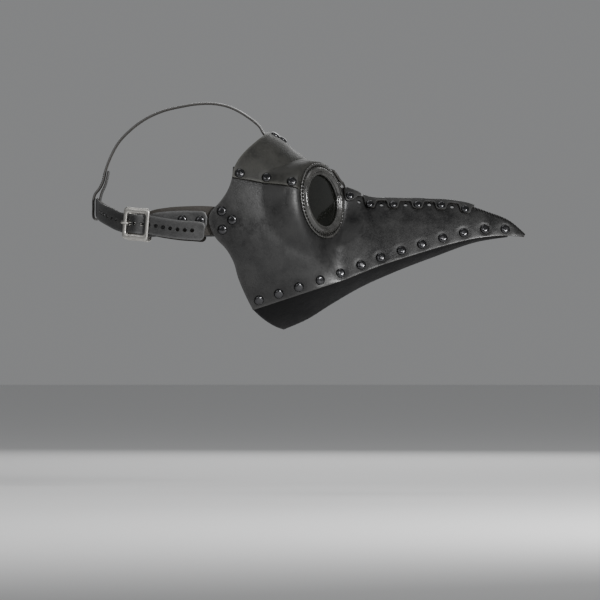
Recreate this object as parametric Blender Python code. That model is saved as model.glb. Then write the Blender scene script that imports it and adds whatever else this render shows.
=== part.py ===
"""A plague doctor mask: a hood-less half mask of riveted leather with two round glass eyes and a long
beak, held on the head by a crown strap and a rear strap with a buckle at each side.

X points forward along the beak, Y to the wearer's left, Z up. The origin is the middle of the wearer's
head at eye level. The working unit is the millimetre, and make_solid turns it into metres.
"""

import math

import bmesh
import bpy
import numpy as np

MM = 0.001

# Leather and clearances
LEATHER = 2.4
LINING_LEATHER = 1.8
GAP = 0.4
MIDLINE = 0.15

# Outlines of the mask in side view, as (x, z)
CREST = (
    (-20, 116), (10, 107), (30, 98.5), (44, 92.8), (55, 86.6), (76, 70.7), (106, 48), (124, 36),
    (137, 30.8), (150, 24.6), (170, 23.2), (212, 22.3), (250, 18.8), (276, 10.8), (302, -0.8), (315.5, -12.7),
)
JAW = (
    (30, -92.5), (77, -77), (124, -61), (163, -45.5), (196, -35), (231, -24.5), (266, -16.5),
    (290, -14), (315.5, -14.5),
)
KEEL = (
    (62, -113), (87, -102), (111, -87), (143, -68.5), (175, -54), (219, -37), (263, -21.5), (304, -14.8),
)
EAR_EDGE = (
    (-92.4, 30), (-78.9, 23.2), (-59.4, 15), (-39.9, 9), (-26.4, 0.7), (-18.9, -6.7), (-6.9, -13.5),
    (3.6, -15.8), (11.1, -13.5), (20.1, -5.3), (32.1, 3), (46.8, 8.3), (59, 9.5),
)
BROW_SEAM = ((8.3, 45.3), (44, 38.7), (77.7, 29.6), (100, 29), (118, 29))
BROW_REAR = ((46.8, 8.3), (51.6, 9), (63.6, 14.3), (74.1, 23.2), (83.1, 33.7), (89.9, 42), (92.8, 44))

# Half widths in plan, as (x, y)
HEAD_WIDTH = ((-20, 82), (20, 82), (40, 80), (60, 77), (80, 73), (100, 66), (130, 50))
BEAK_WIDTH = (
    (30, 40), (77, 50), (124, 47), (163, 38.5), (196, 31.5), (231, 24), (266, 15.5), (290, 9.6),
    (304, 6.2), (315.5, 3.2),
)

# The side panel tucks this deep under the brow behind one x, and meets the brow's edge in front of it
TUCK_END = 54.0
TUCK_DEPTH = 12.0
TUCK_RELIEF = 0.6
BUTT_GAP = 0.6

# Flange of the lower beak inside the side panel
FLANGE_HEIGHT = 13.0
FLANGE_SHARE = 0.62
FLANGE_GAP = 0.68

# Eye openings, which sit square to this direction
EYE_CENTRE = np.array([101.3, 42.0, 21.6])
EYE_NORMAL = np.array([0.823, 0.55, 0.138]) / np.linalg.norm([0.823, 0.55, 0.138])
EYE_SEAT_RADIUS = 40.5
EYE_FALL_TOP, EYE_FALL_SPAN = 63.0, 17.0
EYE_FALL_BROW, EYE_FALL_CHEEK, EYE_CREASE = 5.0, 24.0, 11.0
EYE_HOLE_RADIUS = 30.4
LENS_PROFILE = ((0, 0.1), (30.0, 0.1), (30.0, -2.6), (0, -2.6))
EYE_RIM_PROFILE = (
    (27, 0.5), (38.4, 0.5), (38.8, 1.4), (35.2, 2.2), (32, 4.8), (29.6, 4.2), (27, 2.6),
)
RETAINER_PROFILE = ((26.5, -5.6), (34, -5.6), (34, -3.3), (26.5, -3.3))
EYE_SIDES = 24

# Rivets, as (x, z) on the side of the mask
JAW_RIVETS = (36.4, 57, 78, 100.2, 121.5, 142.9, 163.3, 185.1, 206.5, 228.6, 250.6, 272.7, 294.3)
JAW_RIVET_RISE = 8.2
EAR_RIVETS = ((-2.2, 10.4), (8.6, 1.4), (-1.5, -8.8))
TAB_RIVETS = ((-43.0, 1.2), (-24.8, 0.4))
CROWN_RIVETS = (("right", 51.5, -7.0), ("middle", 59.0, 0.0), ("left", 51.5, 7.0))
RIVET_RADIUS = 5.0
RIVET_HEIGHT = 2.4
RIVET_HOLE_RADIUS = 2.0
POST_RADIUS = 1.5
BACK_CAP_RADIUS = 4.0
TIP_BACK_CAP_RADIUS = 1.6

# Ridge strip with its lobes, and the vent holes between them
RIDGE_LOBES = (152.3, 176.7, 202.3, 227.0, 252.3)
RIDGE_STRIP_ENDS = (145.0, 261.0)
LOBE_HALF_WIDTH = 6.6
LOBE_STEPS = (-7.2, -5.4, 0, 5.4, 7.2)
LOBE_DROP = 7.5
STRIP_DROP = 2.0
STRIP_THICKNESS = 2.4

# Nose bridge, as (x, half width) in plan
BRIDGE_COLUMNS = (101, 105, 109, 113, 117, 120, 122, 124, 126, 128, 131, 134.5, 137, 139.5, 142.5)
BRIDGE_HALF_WIDTH = (
    (101, 7), (109, 8.5), (117, 6.5), (122, 5.6), (126, 6.4), (131, 7.2), (135, 6.4), (139, 2.6),
    (143, 1.8),
)
BRIDGE_THICKNESS = 2.2
BRIDGE_STEP_END = 121.5
VENTS = ((141.2, 21.3), (164.5, 18.2), (189.8, 18.2), (214.7, 18.4), (238.6, 16.1))
VENT_RADIUS = 2.1

# Straps and buckles
STRAP_WIDTH = 19.6
CROWN_WIDTH = 25.0
BUCKLE_PIVOT = np.array([-89.6, 77.6, -2.8])
BUCKLE_YAW = math.radians(18)
BUCKLE_TILT = math.radians(5)
# The buckle's own parts, as lengths back along the strap (s), outward (n) and across it (w)
FRAME_LENGTH, FRAME_WIDTH = 28.4, 33.6
WINDOW_LENGTH, WINDOW_WIDTH = 20.0, 21.8
FRAME_LEVELS = (4.0, 7.0)
BAR_RADIUS = 1.5
BAR_HALF_LENGTH = 13.0
POST_S, POST_N, POST_W = (-2, 2), (-1.4, 4.8), (11.4, 14.2)
FOLD_RADIUS = 3.0
PRONG_RADIUS = 1.15
PRONG_EYE_RADIUS = 2.75
PRONG_EYE_WIRE = 0.7
PRONG_ARM = (
    (2.6, -1.3), (3.9, -0.6), (5.4, 0.6), (7.3, 3.6), (8.7, 7.0), (10.3, 8.5), (13, 8.6), (15.8, 8.2),
)
PRONG_SLOT = ((-7.5, 6), (-6, 6), (-2.2, 2.2))
PRONG_HOLE_SIZE = ((4.2, 12.0), (-1.5, 7), (-2.6, 2.6))
HOLE_PITCH = 7.6
HOLE_COUNT = 17
HOLE_RADIUS = 2.1
FIRST_HOLE = 12.75
PRONG_HOLE = 9

# The tab's route in plan, its height and its half width, as functions of x
TAB_ROUTE = ((12, 77.2), (-16, 77.2), (-35, 78.7), (-55, 79.6), (-68, 79.5))
TAB_HEIGHT = ((-78, -2.4), (-65, -0.4), (-42, 1.0), (-16, 0.4), (12, 0.5))
TAB_HALF_WIDTH = ((-93, 9.8), (-84, 9.8), (-77, 12), (-60, 13.6), (-40, 14.4), (-14, 15), (0, 13.5), (12, 11))
TAB_TIP = (-17.5, 77.4, 0.4)
TAB_TIP_HALF_WIDTH = 6.5
TAB_LEG = -3.9

# The rear strap from its tip to the buckle, through it as (s, n), and on to the back of the head
REAR_STRAP_FRONT = ((-20.2, 87, -11), (-33, 87.8, -9.8), (-45, 87.9, -9), (-56, 87.2, -7.6), (-66, 86, -6))
REAR_STRAP_BUCKLED = ((-15, 1.95), (-10, 2.2), (-5, 4.5), (0, 6.1), (5, 4.3), (10, 1.9), (15, 1.55))
REAR_STRAP_BACK = ((-118.5, 63, 4.5), (-128, 44, 9.5), (-133, 22, 14), (-134.5, 0, 15.5))

# The crown strap's route over the head, as (x, z), its loop round the rear strap, and its sewn end
CROWN_TUCK_COLUMNS = (66, 60, 54, 48)
CROWN_TUCK = 1.5
CROWN_ROUTE = (
    (43, 91.0), (40.2, 94.6), (37.5, 99.6), (31.5, 105.4), (24, 110.9), (14, 116.9),
    (5.3, 120.8), (-12.3, 124.3),
    (-29.7, 123.8), (-47.3, 120.8), (-64.8, 116.4), (-82.2, 108.6), (-99.8, 95.7), (-111.2, 83.6),
    (-119.8, 68.2), (-125, 54.4), (-128.3, 41), (-131.9, 34.4), (-136.2, 29), (-137.8, 23),
    (-137.9, 15), (-137.9, 6),
)
CROWN_LOOP_RADIUS = 3.5
CROWN_RETURN = ((-130.8, 15), (-130.6, 24), (-129, 30.5), (-125.4, 38.5), (-121.8, 53.4))
CROWN_CURL = ((-140, 0.0), (-60, 0.0), (0, 0.003), (40, 0.0056), (66, 0.0056))

UP = np.array([0.0, 0.0, 1.0])


def clear_scene():
    for leftover in list(bpy.data.objects):
        bpy.data.objects.remove(leftover, do_unlink=True)


def finish(name, colour, roughness, metallic=0.0):
    material = bpy.data.materials.new(name)
    material.use_nodes = True
    shader = material.node_tree.nodes["Principled BSDF"]
    shader.inputs["Base Color"].default_value = (*colour, 1.0)
    shader.inputs["Roughness"].default_value = roughness
    shader.inputs["Metallic"].default_value = metallic
    return material


# ---------------------------------------------------------------- curves and surfaces


def through(points):
    """A smooth curve through (x, value) points, as a function of x."""
    places, values = np.array(points, float).T
    slopes = np.gradient(values, places)

    def curve(place):
        place = np.clip(np.asarray(place, float), places[0], places[-1])
        i = np.clip(np.searchsorted(places, place) - 1, 0, len(places) - 2)
        span = places[i + 1] - places[i]
        t = (place - places[i]) / span
        start = (2 * t**3 - 3 * t**2 + 1) * values[i] + (t**3 - 2 * t**2 + t) * span * slopes[i]
        end = (3 * t**2 - 2 * t**3) * values[i + 1] + (t**3 - t**2) * span * slopes[i + 1]
        return start + end

    return curve


crest, jaw, keel = through(CREST), through(JAW), through(KEEL)
ear_edge, brow_seam, brow_rear = through(EAR_EDGE), through(BROW_SEAM), through(BROW_REAR)
head_width, beak_width = through(HEAD_WIDTH), through(BEAK_WIDTH)


def smooth_step(value):
    value = np.clip(value, 0.0, 1.0)
    return value * value * (3 - 2 * value)


def rounded_mix(a, b, power):
    """The larger of a and b with a soft corner; a negative power gives the smaller."""
    return (np.maximum(a, 1e-3) ** power + np.maximum(b, 1e-3) ** power) ** (1 / power)


def half_width(x, z):
    """Distance of the mask's outer surface from the midline."""
    top, bottom = crest(x), jaw(x)
    dome = (1 - np.clip(z / np.maximum(top, 1e-3), 0, 1) ** 2) ** 0.45
    cheek = 1 - 0.24 * np.clip(z / bottom, 0, 1.5) ** 2
    side = head_width(x) * np.where(z > 0, dome, cheek)
    eye_plane = EYE_CENTRE[1] - (
        EYE_NORMAL[0] * (x - EYE_CENTRE[0]) + EYE_NORMAL[2] * (z - EYE_CENTRE[2])
    ) / EYE_NORMAL[1]
    down = np.clip((top - z) / (top - bottom), 0, 1.2)
    beak = beak_width(x) * down * (1 + 0.4 * (1 - down))
    return np.maximum(rounded_mix(rounded_mix(side, eye_plane, -6), beak, 6), MIDLINE)


def eye_distance(points):
    """Distance from the eye's axis, and height along it."""
    offset = points - EYE_CENTRE
    height = offset @ EYE_NORMAL
    return np.linalg.norm(offset - height[..., None] * EYE_NORMAL, axis=-1), height


def raise_eye(points):
    """Draws the leather to a flat seat under the eye ring, with a long fall to the cheek below it."""
    distance, height = eye_distance(points)
    below = smooth_step((EYE_FALL_TOP - points[..., 2]) / EYE_FALL_SPAN)
    fall = EYE_FALL_BROW + (EYE_FALL_CHEEK - EYE_FALL_BROW) * below
    free = smooth_step((distance - EYE_SEAT_RADIUS) / np.where(height < 0, fall, EYE_CREASE))
    lift = height * (free - 1) * smooth_step(points[..., 1] / 12)
    return points + lift[..., None] * EYE_NORMAL


def side_surface(x, z):
    """Outer surface of the left side panel at side-view places x, z."""
    x, z = np.broadcast_arrays(np.asarray(x, float), np.asarray(z, float))
    points = raise_eye(np.stack([x, half_width(x, z), z], axis=-1))
    points[..., 1] = np.maximum(points[..., 1], MIDLINE)
    return points


def unit(vectors):
    return vectors / np.maximum(np.linalg.norm(vectors, axis=-1, keepdims=True), 1e-9)


def side_normal(x, z, step=1.5):
    """Outward normal of the left side panel."""
    along = side_surface(x + step, z) - side_surface(x - step, z)
    up = side_surface(x, z + step) - side_surface(x, z - step)
    return unit(np.cross(up, along))


def grid_normals(points):
    """Normals of a grid whose columns run forward and whose rows run up the left side."""
    return unit(np.cross(np.gradient(points, axis=1), np.gradient(points, axis=0)))


# ---------------------------------------------------------------- meshes


def make_solid(name, points, faces, material, side=1, origin=(0, 0, 0)):
    """A named closed body from points in millimetres; side -1 mirrors it to the wearer's right."""
    mirror = np.array([1, side, 1])
    points = (np.asarray(points, float) - np.asarray(origin)) * mirror
    mesh = bpy.data.meshes.new(name)
    mesh.from_pydata([tuple(point) for point in points * MM], [], [tuple(face) for face in faces])
    turned_out = bmesh.new()
    turned_out.from_mesh(mesh)
    bmesh.ops.recalc_face_normals(turned_out, faces=turned_out.faces)
    turned_out.to_mesh(mesh)
    turned_out.free()
    mesh.materials.append(material)
    mesh.shade_smooth()
    mesh.set_sharp_from_angle(angle=math.radians(35))
    solid = bpy.data.objects.new(name, mesh)
    solid.location = np.asarray(origin) * mirror * MM
    bpy.context.scene.collection.objects.link(solid)
    return solid


def shell_faces(columns, rows, closed=False):
    """Faces of a shell made of an outer grid followed by an inner one, with its edges closed."""
    layer = columns * rows

    def at(i, j, inner=0):
        return inner * layer + (i % columns) * rows + j

    faces = []
    for i in range(columns if closed else columns - 1):
        for j in range(rows - 1):
            faces.append((at(i, j), at(i + 1, j), at(i + 1, j + 1), at(i, j + 1)))
            faces.append((at(i, j, 1), at(i, j + 1, 1), at(i + 1, j + 1, 1), at(i + 1, j, 1)))
        faces.append((at(i, 0, 1), at(i + 1, 0, 1), at(i + 1, 0), at(i, 0)))
        last = rows - 1
        faces.append((at(i, last), at(i + 1, last), at(i + 1, last, 1), at(i, last, 1)))
    if not closed:
        for j in range(rows - 1):
            faces.append((at(0, j), at(0, j + 1), at(0, j + 1, 1), at(0, j, 1)))
            end = columns - 1
            faces.append((at(end, j, 1), at(end, j + 1, 1), at(end, j + 1), at(end, j)))
    return faces


def shell(name, outer, inner, material, side=1):
    columns, rows = outer.shape[:2]
    points = np.concatenate([outer.reshape(-1, 3), inner.reshape(-1, 3)])
    return make_solid(name, points, shell_faces(columns, rows), material, side)


def frame_round(axis):
    """Two unit vectors square to the axis and to each other."""
    first = unit(np.cross(axis, UP if abs(axis[2]) < 0.9 else np.array([1.0, 0.0, 0.0])))
    return first, np.cross(axis, first)


def turned(name, profile, centre, axis, sides, material, side=1, ring=False):
    """A shape turned round an axis: a closed ring, or a solid whose profile runs from top to bottom."""
    first, second = frame_round(axis)
    points, loops = [], []
    for radius, height in profile:
        if radius == 0:
            loops.append([len(points)] * sides)
            points.append(centre + height * axis)
            continue
        loops.append([len(points) + k for k in range(sides)])
        for k in range(sides):
            turn = 2 * math.pi * k / sides
            spoke = math.cos(turn) * first + math.sin(turn) * second
            points.append(centre + height * axis + radius * spoke)
    pairs = list(zip(loops, loops[1:]))
    if ring:
        pairs.append((loops[-1], loops[0]))
    faces = []
    for upper, lower in pairs:
        for k in range(sides):
            corners = (upper[k], lower[k], lower[(k + 1) % sides], upper[(k + 1) % sides])
            faces.append(tuple(dict.fromkeys(corners)))
    return make_solid(name, points, faces, material, side)


def cylinders(name, axes, radius, reach, sides=6):
    """One cutter holding a cylinder for each (centre, axis)."""
    points, faces = [], []
    for centre, axis in axes:
        first, second = frame_round(axis)
        base = len(points)
        for end in (reach[0], reach[1]):
            for k in range(sides):
                turn = 2 * math.pi * k / sides
                spoke = math.cos(turn) * first + math.sin(turn) * second
                points.append(centre + end * axis + radius * spoke)
        faces.append(tuple(base + k for k in reversed(range(sides))))
        faces.append(tuple(base + sides + k for k in range(sides)))
        for k in range(sides):
            after = (k + 1) % sides
            faces.append((base + k, base + after, base + sides + after, base + sides + k))
    return as_helper(make_solid(name, points, faces, HELPER))


def as_helper(helper):
    helper.hide_render = True
    helper.display_type = "WIRE"
    return helper


def mirrored_helper(helper, name):
    """The same helper on the wearer's right."""
    mesh = helper.data.copy()
    for vertex in mesh.vertices:
        vertex.co.y = -vertex.co.y
    mesh.flip_normals()
    copy = bpy.data.objects.new(name, mesh)
    copy.location = (helper.location.x, -helper.location.y, helper.location.z)
    bpy.context.scene.collection.objects.link(copy)
    return as_helper(copy)


def boolean(solid, helper, operation="DIFFERENCE"):
    modifier = solid.modifiers.new(helper.name, "BOOLEAN")
    modifier.operation = operation
    modifier.solver = "EXACT"
    modifier.object = helper


def smooth_path(points, spacing):
    """Points a given distance apart on a smooth curve through the given ones."""
    points = np.array(points, float)
    along = np.concatenate([[0], np.cumsum(np.linalg.norm(np.diff(points, axis=0), axis=1))])
    curves = [through(np.column_stack([along, points[:, k]])) for k in range(3)]
    stops = []
    for start, end in zip(along, along[1:]):
        stops.extend(np.linspace(start, end, max(1, round((end - start) / spacing)), endpoint=False))
    stops.append(along[-1])
    return np.column_stack([curve(np.array(stops)) for curve in curves])


def strap_lean(middle):
    """The direction of a rear strap's width: upright at both ends, and square to the buckle between."""
    lean = smooth_step((-60 - middle[:, :1]) / 18) * smooth_step((124 + middle[:, :1]) / 14)
    mirror = np.where(middle[:, 1:2] < 0, -1.0, 1.0) * np.array([0, 1, 0]) + np.array([1, 0, 1])
    return unit(UP + lean * (ACROSS * mirror - UP))


def band(name, middle, half_widths, thickness, material, across, side=1, drops=None):
    """A strap along its middle line, whose width lies along the given direction."""
    tangents = unit(np.gradient(middle, axis=0))
    widths = unit(across - (tangents * across).sum(axis=-1, keepdims=True) * tangents)
    outward = np.cross(tangents, widths)
    columns = np.array([-1.0, 0.0, 1.0]) if drops is not None else np.array([-1.0, 1.0])
    reach = half_widths[:, None] * columns
    fall = 0 * reach if drops is None else drops[:, None] * reach**2
    mid = middle[:, None] + widths[:, None] * reach[..., None] - outward[:, None] * fall[..., None]
    lift = outward[:, None] * thickness / 2
    return shell(name, mid + lift, mid - lift, material, side)


def rounded_tip(distance, half, corner):
    """Half width of a strap near its tip, whose corners are rounded."""
    inside = np.clip(corner - distance, 0, corner)
    return half - corner + np.sqrt(corner**2 - inside**2)


def distances(middle):
    return np.concatenate([[0], np.cumsum(np.linalg.norm(np.diff(middle, axis=0), axis=1))])


# ---------------------------------------------------------------- leather panels


def side_panel(side_name, side, cutters):
    """The big panel from the ear to the beak's tip. Its top edge tucks under the brow."""
    top_x = np.concatenate([
        np.linspace(9.5, TUCK_END, 7),
        np.linspace(TUCK_END + 2, 118.5, 10),
        np.linspace(123.5, 141.5, 5),
        np.linspace(150, 315.5, 14),
    ])
    tucked = brow_seam(top_x) + TUCK_DEPTH
    butted = brow_seam(top_x) - BUTT_GAP
    top_z = np.where(top_x <= TUCK_END, tucked, np.where(top_x < 120, butted, crest(top_x)))
    low_x = 30 + (top_x - top_x[0]) * (314.5 - 30) / (top_x[-1] - top_x[0])
    rows = 1 - (1 - np.linspace(0, 1, 12)) ** 1.25
    u = np.linspace(0, 1, len(top_x))[:, None]
    x = (1 - rows) * low_x[:, None] + rows * top_x[:, None]
    z = (1 - rows) * jaw(low_x)[:, None] + rows * top_z[:, None]
    rear_z = (1 - rows) * jaw(30) + rows * 59
    x = x + (1 - u) ** 6 * (ear_edge(rear_z) - x[0])
    surface = side_surface(x, z)
    tucked_in = smooth_step((z - brow_seam(x)) / 3) * (x < TUCK_END + 1)
    outer = surface - TUCK_RELIEF * tucked_in[..., None] * grid_normals(surface)
    inner = outer - LEATHER * grid_normals(outer)
    inner[..., 1] = np.maximum(inner[..., 1], MIDLINE)
    panel = shell(f"side_panel_{side_name}", outer, inner, SIDE_LEATHER, side)
    for cutter in cutters:
        boolean(panel, cutter)


def brow_fade(points):
    """1 where the brow lies over the side panel, 0 under the eye ring, where both are level."""
    distance, _ = eye_distance(points)
    return smooth_step((distance - EYE_SEAT_RADIUS) / 4)


def brow_panel(cutters):
    """One panel over the forehead from side to side, with half of each eye opening."""
    r = np.linspace(0, 1, 17)[:, None]
    t = np.linspace(0, 1, 9)
    low_x = 8.3 + r * (118 - 8.3)
    top_x = 44 + r * (121 - 44)
    rise = np.sin(t * math.pi / 2)
    rear_share = (brow_rear(46.8 + (92.8 - 46.8) * rise) - 8.3) / (44 - 8.3)
    share = (1 - r) * rear_share + r * t
    x = low_x + (top_x - low_x) * share
    z = brow_seam(low_x) + (crest(top_x) - brow_seam(low_x)) * rise
    left = side_surface(x, z)
    left[:, -1, 1] = 0.0
    right = left[:, -2::-1] * np.array([1, -1, 1])
    base = np.concatenate([left, right], axis=1)
    on_left = np.stack([base[..., 0], np.abs(base[..., 1]), base[..., 2]], axis=-1)
    cover = (LEATHER + GAP) * brow_fade(on_left)[..., None]
    outer = base + cover * grid_normals(base)
    inner = outer - LEATHER * grid_normals(outer)
    panel = shell("brow_panel", outer, inner, BROW_LEATHER)
    for cutter in cutters:
        boolean(panel, cutter)


def lower_beak(side_name, side, cutter):
    """Half of the beak's underside: a flange riveted inside the side panel, then down to the keel."""
    flange_x = np.linspace(30, 296, 20)
    keel_x = 62 + (flange_x - 30) * (297 - 62) / (296 - 30)
    depth = crest(flange_x) - jaw(flange_x)
    flange_height = np.minimum(FLANGE_HEIGHT, FLANGE_SHARE * depth)
    drop = np.array([1.0, 0.5, 0.0])
    z = jaw(flange_x)[:, None] + flange_height[:, None] * drop
    x = np.repeat(flange_x[:, None], 3, axis=1)
    flange = side_surface(x, z) - (LEATHER + FLANGE_GAP) * side_normal(x, z)
    start = flange[:, -1]
    end = np.column_stack([keel_x, np.full(len(keel_x), MIDLINE), keel(keel_x)])
    bend = np.column_stack([
        (start[:, 0] + end[:, 0]) / 2,
        0.62 * start[:, 1],
        start[:, 2] + 0.8 * (end[:, 2] - start[:, 2]),
    ])
    t = np.linspace(0, 1, 6)[1:, None]
    under = np.array([
        (1 - t) ** 2 * a + 2 * t * (1 - t) * b + t**2 * c for a, b, c in zip(start, bend, end)
    ])
    outer = np.concatenate([flange, under], axis=1)[:, ::-1]
    inner = outer - LINING_LEATHER * grid_normals(outer)
    inner[..., 1] = np.maximum(inner[..., 1], MIDLINE)
    boolean(shell(f"lower_beak_{side_name}", outer, inner, LOWER_LEATHER, side), cutter)


def saddle(name, x, reach, lift, thickness, material):
    """A strip over the crest. reach gives how far down each side it comes, lift how high it lies."""
    drop = reach[:, None] * np.linspace(1, 0, 4)
    z = crest(x)[:, None] - drop
    wide_x = np.repeat(x[:, None], 4, axis=1)
    left = side_surface(wide_x, z)
    facing = side_normal(wide_x[:, :-1], z[:, :-1] - 0.8, 0.7)
    ridge_facing = unit(facing[:, -1:] * np.array([1, 0, 1]))
    mitre = 1 / np.maximum((ridge_facing * facing[:, -1:]).sum(-1, keepdims=True), 0.35)
    left[:, -1, 1] = 0.0
    facing = np.concatenate([facing, ridge_facing * mitre], axis=1)
    base = np.concatenate([left, left[:, -2::-1] * np.array([1, -1, 1])], axis=1)
    facing = np.concatenate([facing, facing[:, -2::-1] * np.array([1, -1, 1])], axis=1)
    lift = np.broadcast_to(lift, x.shape)[:, None, None]
    return shell(name, base + (lift + thickness) * facing, base + lift * facing, material)


def ridge_strip():
    """The scalloped strip over the beak's ridge: a lobe at each rivet, shallow between them."""
    lobe_columns = np.add.outer(RIDGE_LOBES, LOBE_STEPS).ravel()
    x = np.concatenate([RIDGE_STRIP_ENDS[:1], lobe_columns, RIDGE_STRIP_ENDS[1:]])
    nearest = np.min(np.abs(x[:, None] - np.array(RIDGE_LOBES)), axis=1)
    lobe = np.sqrt(np.clip(1 - (nearest / LOBE_HALF_WIDTH) ** 4, 0, 1))
    saddle("ridge_strip", x, STRIP_DROP + LOBE_DROP * lobe, GAP, STRIP_THICKNESS, RIDGE_LEATHER)


def drop_at(x, y):
    """How far below the crest the mask is this wide, found by halving."""
    low, high = np.zeros_like(x), np.full_like(x, 30.0)
    for _ in range(24):
        middle = (low + high) / 2
        narrow = half_width(x, crest(x) - middle) < y
        low, high = np.where(narrow, middle, low), np.where(narrow, high, middle)
    return low


def nose_bridge():
    """The saddle over the bridge of the nose, which covers the front of the brow."""
    x = np.array(BRIDGE_COLUMNS, float)
    half = through(BRIDGE_HALF_WIDTH)(x)
    lift = 2.2 * GAP + (LEATHER + GAP) * (1 - smooth_step((x - BRIDGE_STEP_END) / 4))
    saddle("nose_bridge", x, drop_at(x, half), lift, BRIDGE_THICKNESS, RIDGE_LEATHER)


# ---------------------------------------------------------------- eyes


def eye(side_name, side):
    for part, profile, material in (
        ("eye_rim", EYE_RIM_PROFILE, RIM_LEATHER),
        ("lens_retainer", RETAINER_PROFILE, RIM_LEATHER),
    ):
        turned(f"{part}_{side_name}", profile, EYE_CENTRE, EYE_NORMAL, EYE_SIDES, material, side, ring=True)
    turned(f"lens_{side_name}", LENS_PROFILE, EYE_CENTRE, EYE_NORMAL, EYE_SIDES, LENS_GLASS, side)


# ---------------------------------------------------------------- rivets


def rivet(name, place, axis, grip, side=1, back_radius=BACK_CAP_RADIUS):
    """A domed cap, a post through the layers, and a flat cap inside. grip is the layers' thickness."""
    low = -grip - 0.8
    profile = (
        (0, RIVET_HEIGHT + 0.5), (RIVET_RADIUS, 1.3), (RIVET_RADIUS, 0.5), (POST_RADIUS, 0.5),
        (POST_RADIUS, low), (back_radius, low), (back_radius, low - 0.8), (0, low - 0.8),
    )
    turned(name, profile, place, axis, 6, RIVET_METAL, side)


def surface_places(spots):
    """(place, axis) on the left side panel for each (x, z)."""
    places = []
    for x, z in spots:
        normal = side_normal(x, z)
        places.append((side_surface(x, z), normal))
    return places


# ---------------------------------------------------------------- straps and buckles

BACK = np.array([
    -math.cos(BUCKLE_YAW) * math.cos(BUCKLE_TILT),
    -math.sin(BUCKLE_YAW) * math.cos(BUCKLE_TILT),
    math.sin(BUCKLE_TILT),
])
OUT = np.array([-math.sin(BUCKLE_YAW), math.cos(BUCKLE_YAW), 0.0])
ACROSS = np.cross(OUT, BACK)


def buckle_place(s, n, w=0.0):
    """A place given in the buckle's own directions: back along the strap, outward, and across."""
    return BUCKLE_PIVOT + s * BACK + n * OUT + w * ACROSS


tab_height = through(TAB_HEIGHT)
tab_plan = through(TAB_ROUTE[::-1])


def tab_outside(x):
    """Outer face of the tab's returning leg."""
    return float(tab_plan(x)) + 1.5 * LEATHER + GAP


def buckle_tab(side_name, side, cutters):
    """The riveted tab: from under the ear, round the buckle's bar, and back to its rounded tip."""
    rise = LEATHER + GAP
    inner_leg = [(x, y, float(tab_height(x))) for x, y in TAB_ROUTE] + [buckle_place(-10, TAB_LEG)]
    fold = [
        buckle_place(FOLD_RADIUS * math.sin(turn), -FOLD_RADIUS * math.cos(turn))
        for turn in np.linspace(0, math.pi, 7)
    ]
    outer_leg = [buckle_place(-5, 1.0), buckle_place(-10, TAB_LEG + rise)]
    outer_leg += [(x, y + rise, float(tab_height(x))) for x, y in TAB_ROUTE[:1:-1]]
    outer_leg.append((TAB_TIP[0], TAB_TIP[1] + rise, TAB_TIP[2]))
    inner, outer = smooth_path(inner_leg, 9), smooth_path(outer_leg, 9)
    middle = np.concatenate([inner, fold, outer])
    spread = through(TAB_HALF_WIDTH)
    half = np.where(np.arange(len(middle)) < len(inner), spread(middle[:, 0]), STRAP_WIDTH / 2)
    half[-1] = TAB_TIP_HALF_WIDTH
    tab = band(
        f"buckle_tab_{side_name}", middle[::-1], half[::-1], LEATHER, STRAP_LEATHER,
        strap_lean(middle[::-1]), side,
    )
    for cutter in cutters:
        boolean(tab, cutter)


def rear_strap():
    """One strap round the back of the head, with a row of holes at each end."""
    buckled = [tuple(buckle_place(s, n)) for s, n in REAR_STRAP_BUCKLED]
    left = smooth_path([*REAR_STRAP_FRONT, *buckled, *REAR_STRAP_BACK], 7)
    tip = [left[0] + (left[1] - left[0]) * share for share in (0.06, 0.3)]
    left = np.concatenate([left[:1], tip, left[1:]])
    middle = np.concatenate([left, left[-2::-1] * np.array([1, -1, 1])])
    along = distances(middle)
    from_tip = np.minimum(along, along[-1] - along)
    half = rounded_tip(from_tip, STRAP_WIDTH / 2, 5.0)
    strap = band("rear_strap", middle[::-1], half[::-1], LEATHER, STRAP_LEATHER, strap_lean(middle[::-1]))
    round_holes = []
    for k in range(HOLE_COUNT):
        if k == PRONG_HOLE:
            continue
        distance = FIRST_HOLE + k * HOLE_PITCH
        place = np.array([np.interp(distance, along, middle[:, axis]) for axis in range(3)])
        ahead = np.array([np.interp(distance + 1, along, middle[:, axis]) for axis in range(3)])
        round_holes.append((place, unit(np.cross(ahead - place, UP))))
    holes = cylinders("strap_holes_left", round_holes, HOLE_RADIUS, (-2.5, 2.5), 6)
    boolean(strap, holes)
    boolean(strap, mirrored_helper(holes, "strap_holes_right"))
    worn_hole = block_helper("prong_hole_left", *PRONG_HOLE_SIZE)
    boolean(strap, worn_hole)
    boolean(strap, mirrored_helper(worn_hole, "prong_hole_right"))


def block_helper(name, s_range, n_range, w_range):
    """A block given in the buckle's own directions."""
    corners = [(s, n, w) for s in s_range for n in n_range for w in w_range]
    points = [buckle_place(*corner) for corner in corners]
    faces = [(0, 1, 3, 2), (4, 6, 7, 5), (0, 4, 5, 1), (2, 3, 7, 6), (0, 2, 6, 4), (1, 5, 7, 3)]
    return as_helper(make_solid(name, points, faces, HELPER))


def rounded_outline(length, width, corner, steps=3):
    """A rounded rectangle, as (s, w) points."""
    outline = []
    for k, (s, w) in enumerate(((1, 1), (-1, 1), (-1, -1), (1, -1))):
        for turn in np.linspace(0, math.pi / 2, steps + 1) + k * math.pi / 2:
            outline.append((
                s * (length / 2 - corner) + corner * math.cos(turn),
                w * (width / 2 - corner) + corner * math.sin(turn),
            ))
    return outline


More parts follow.
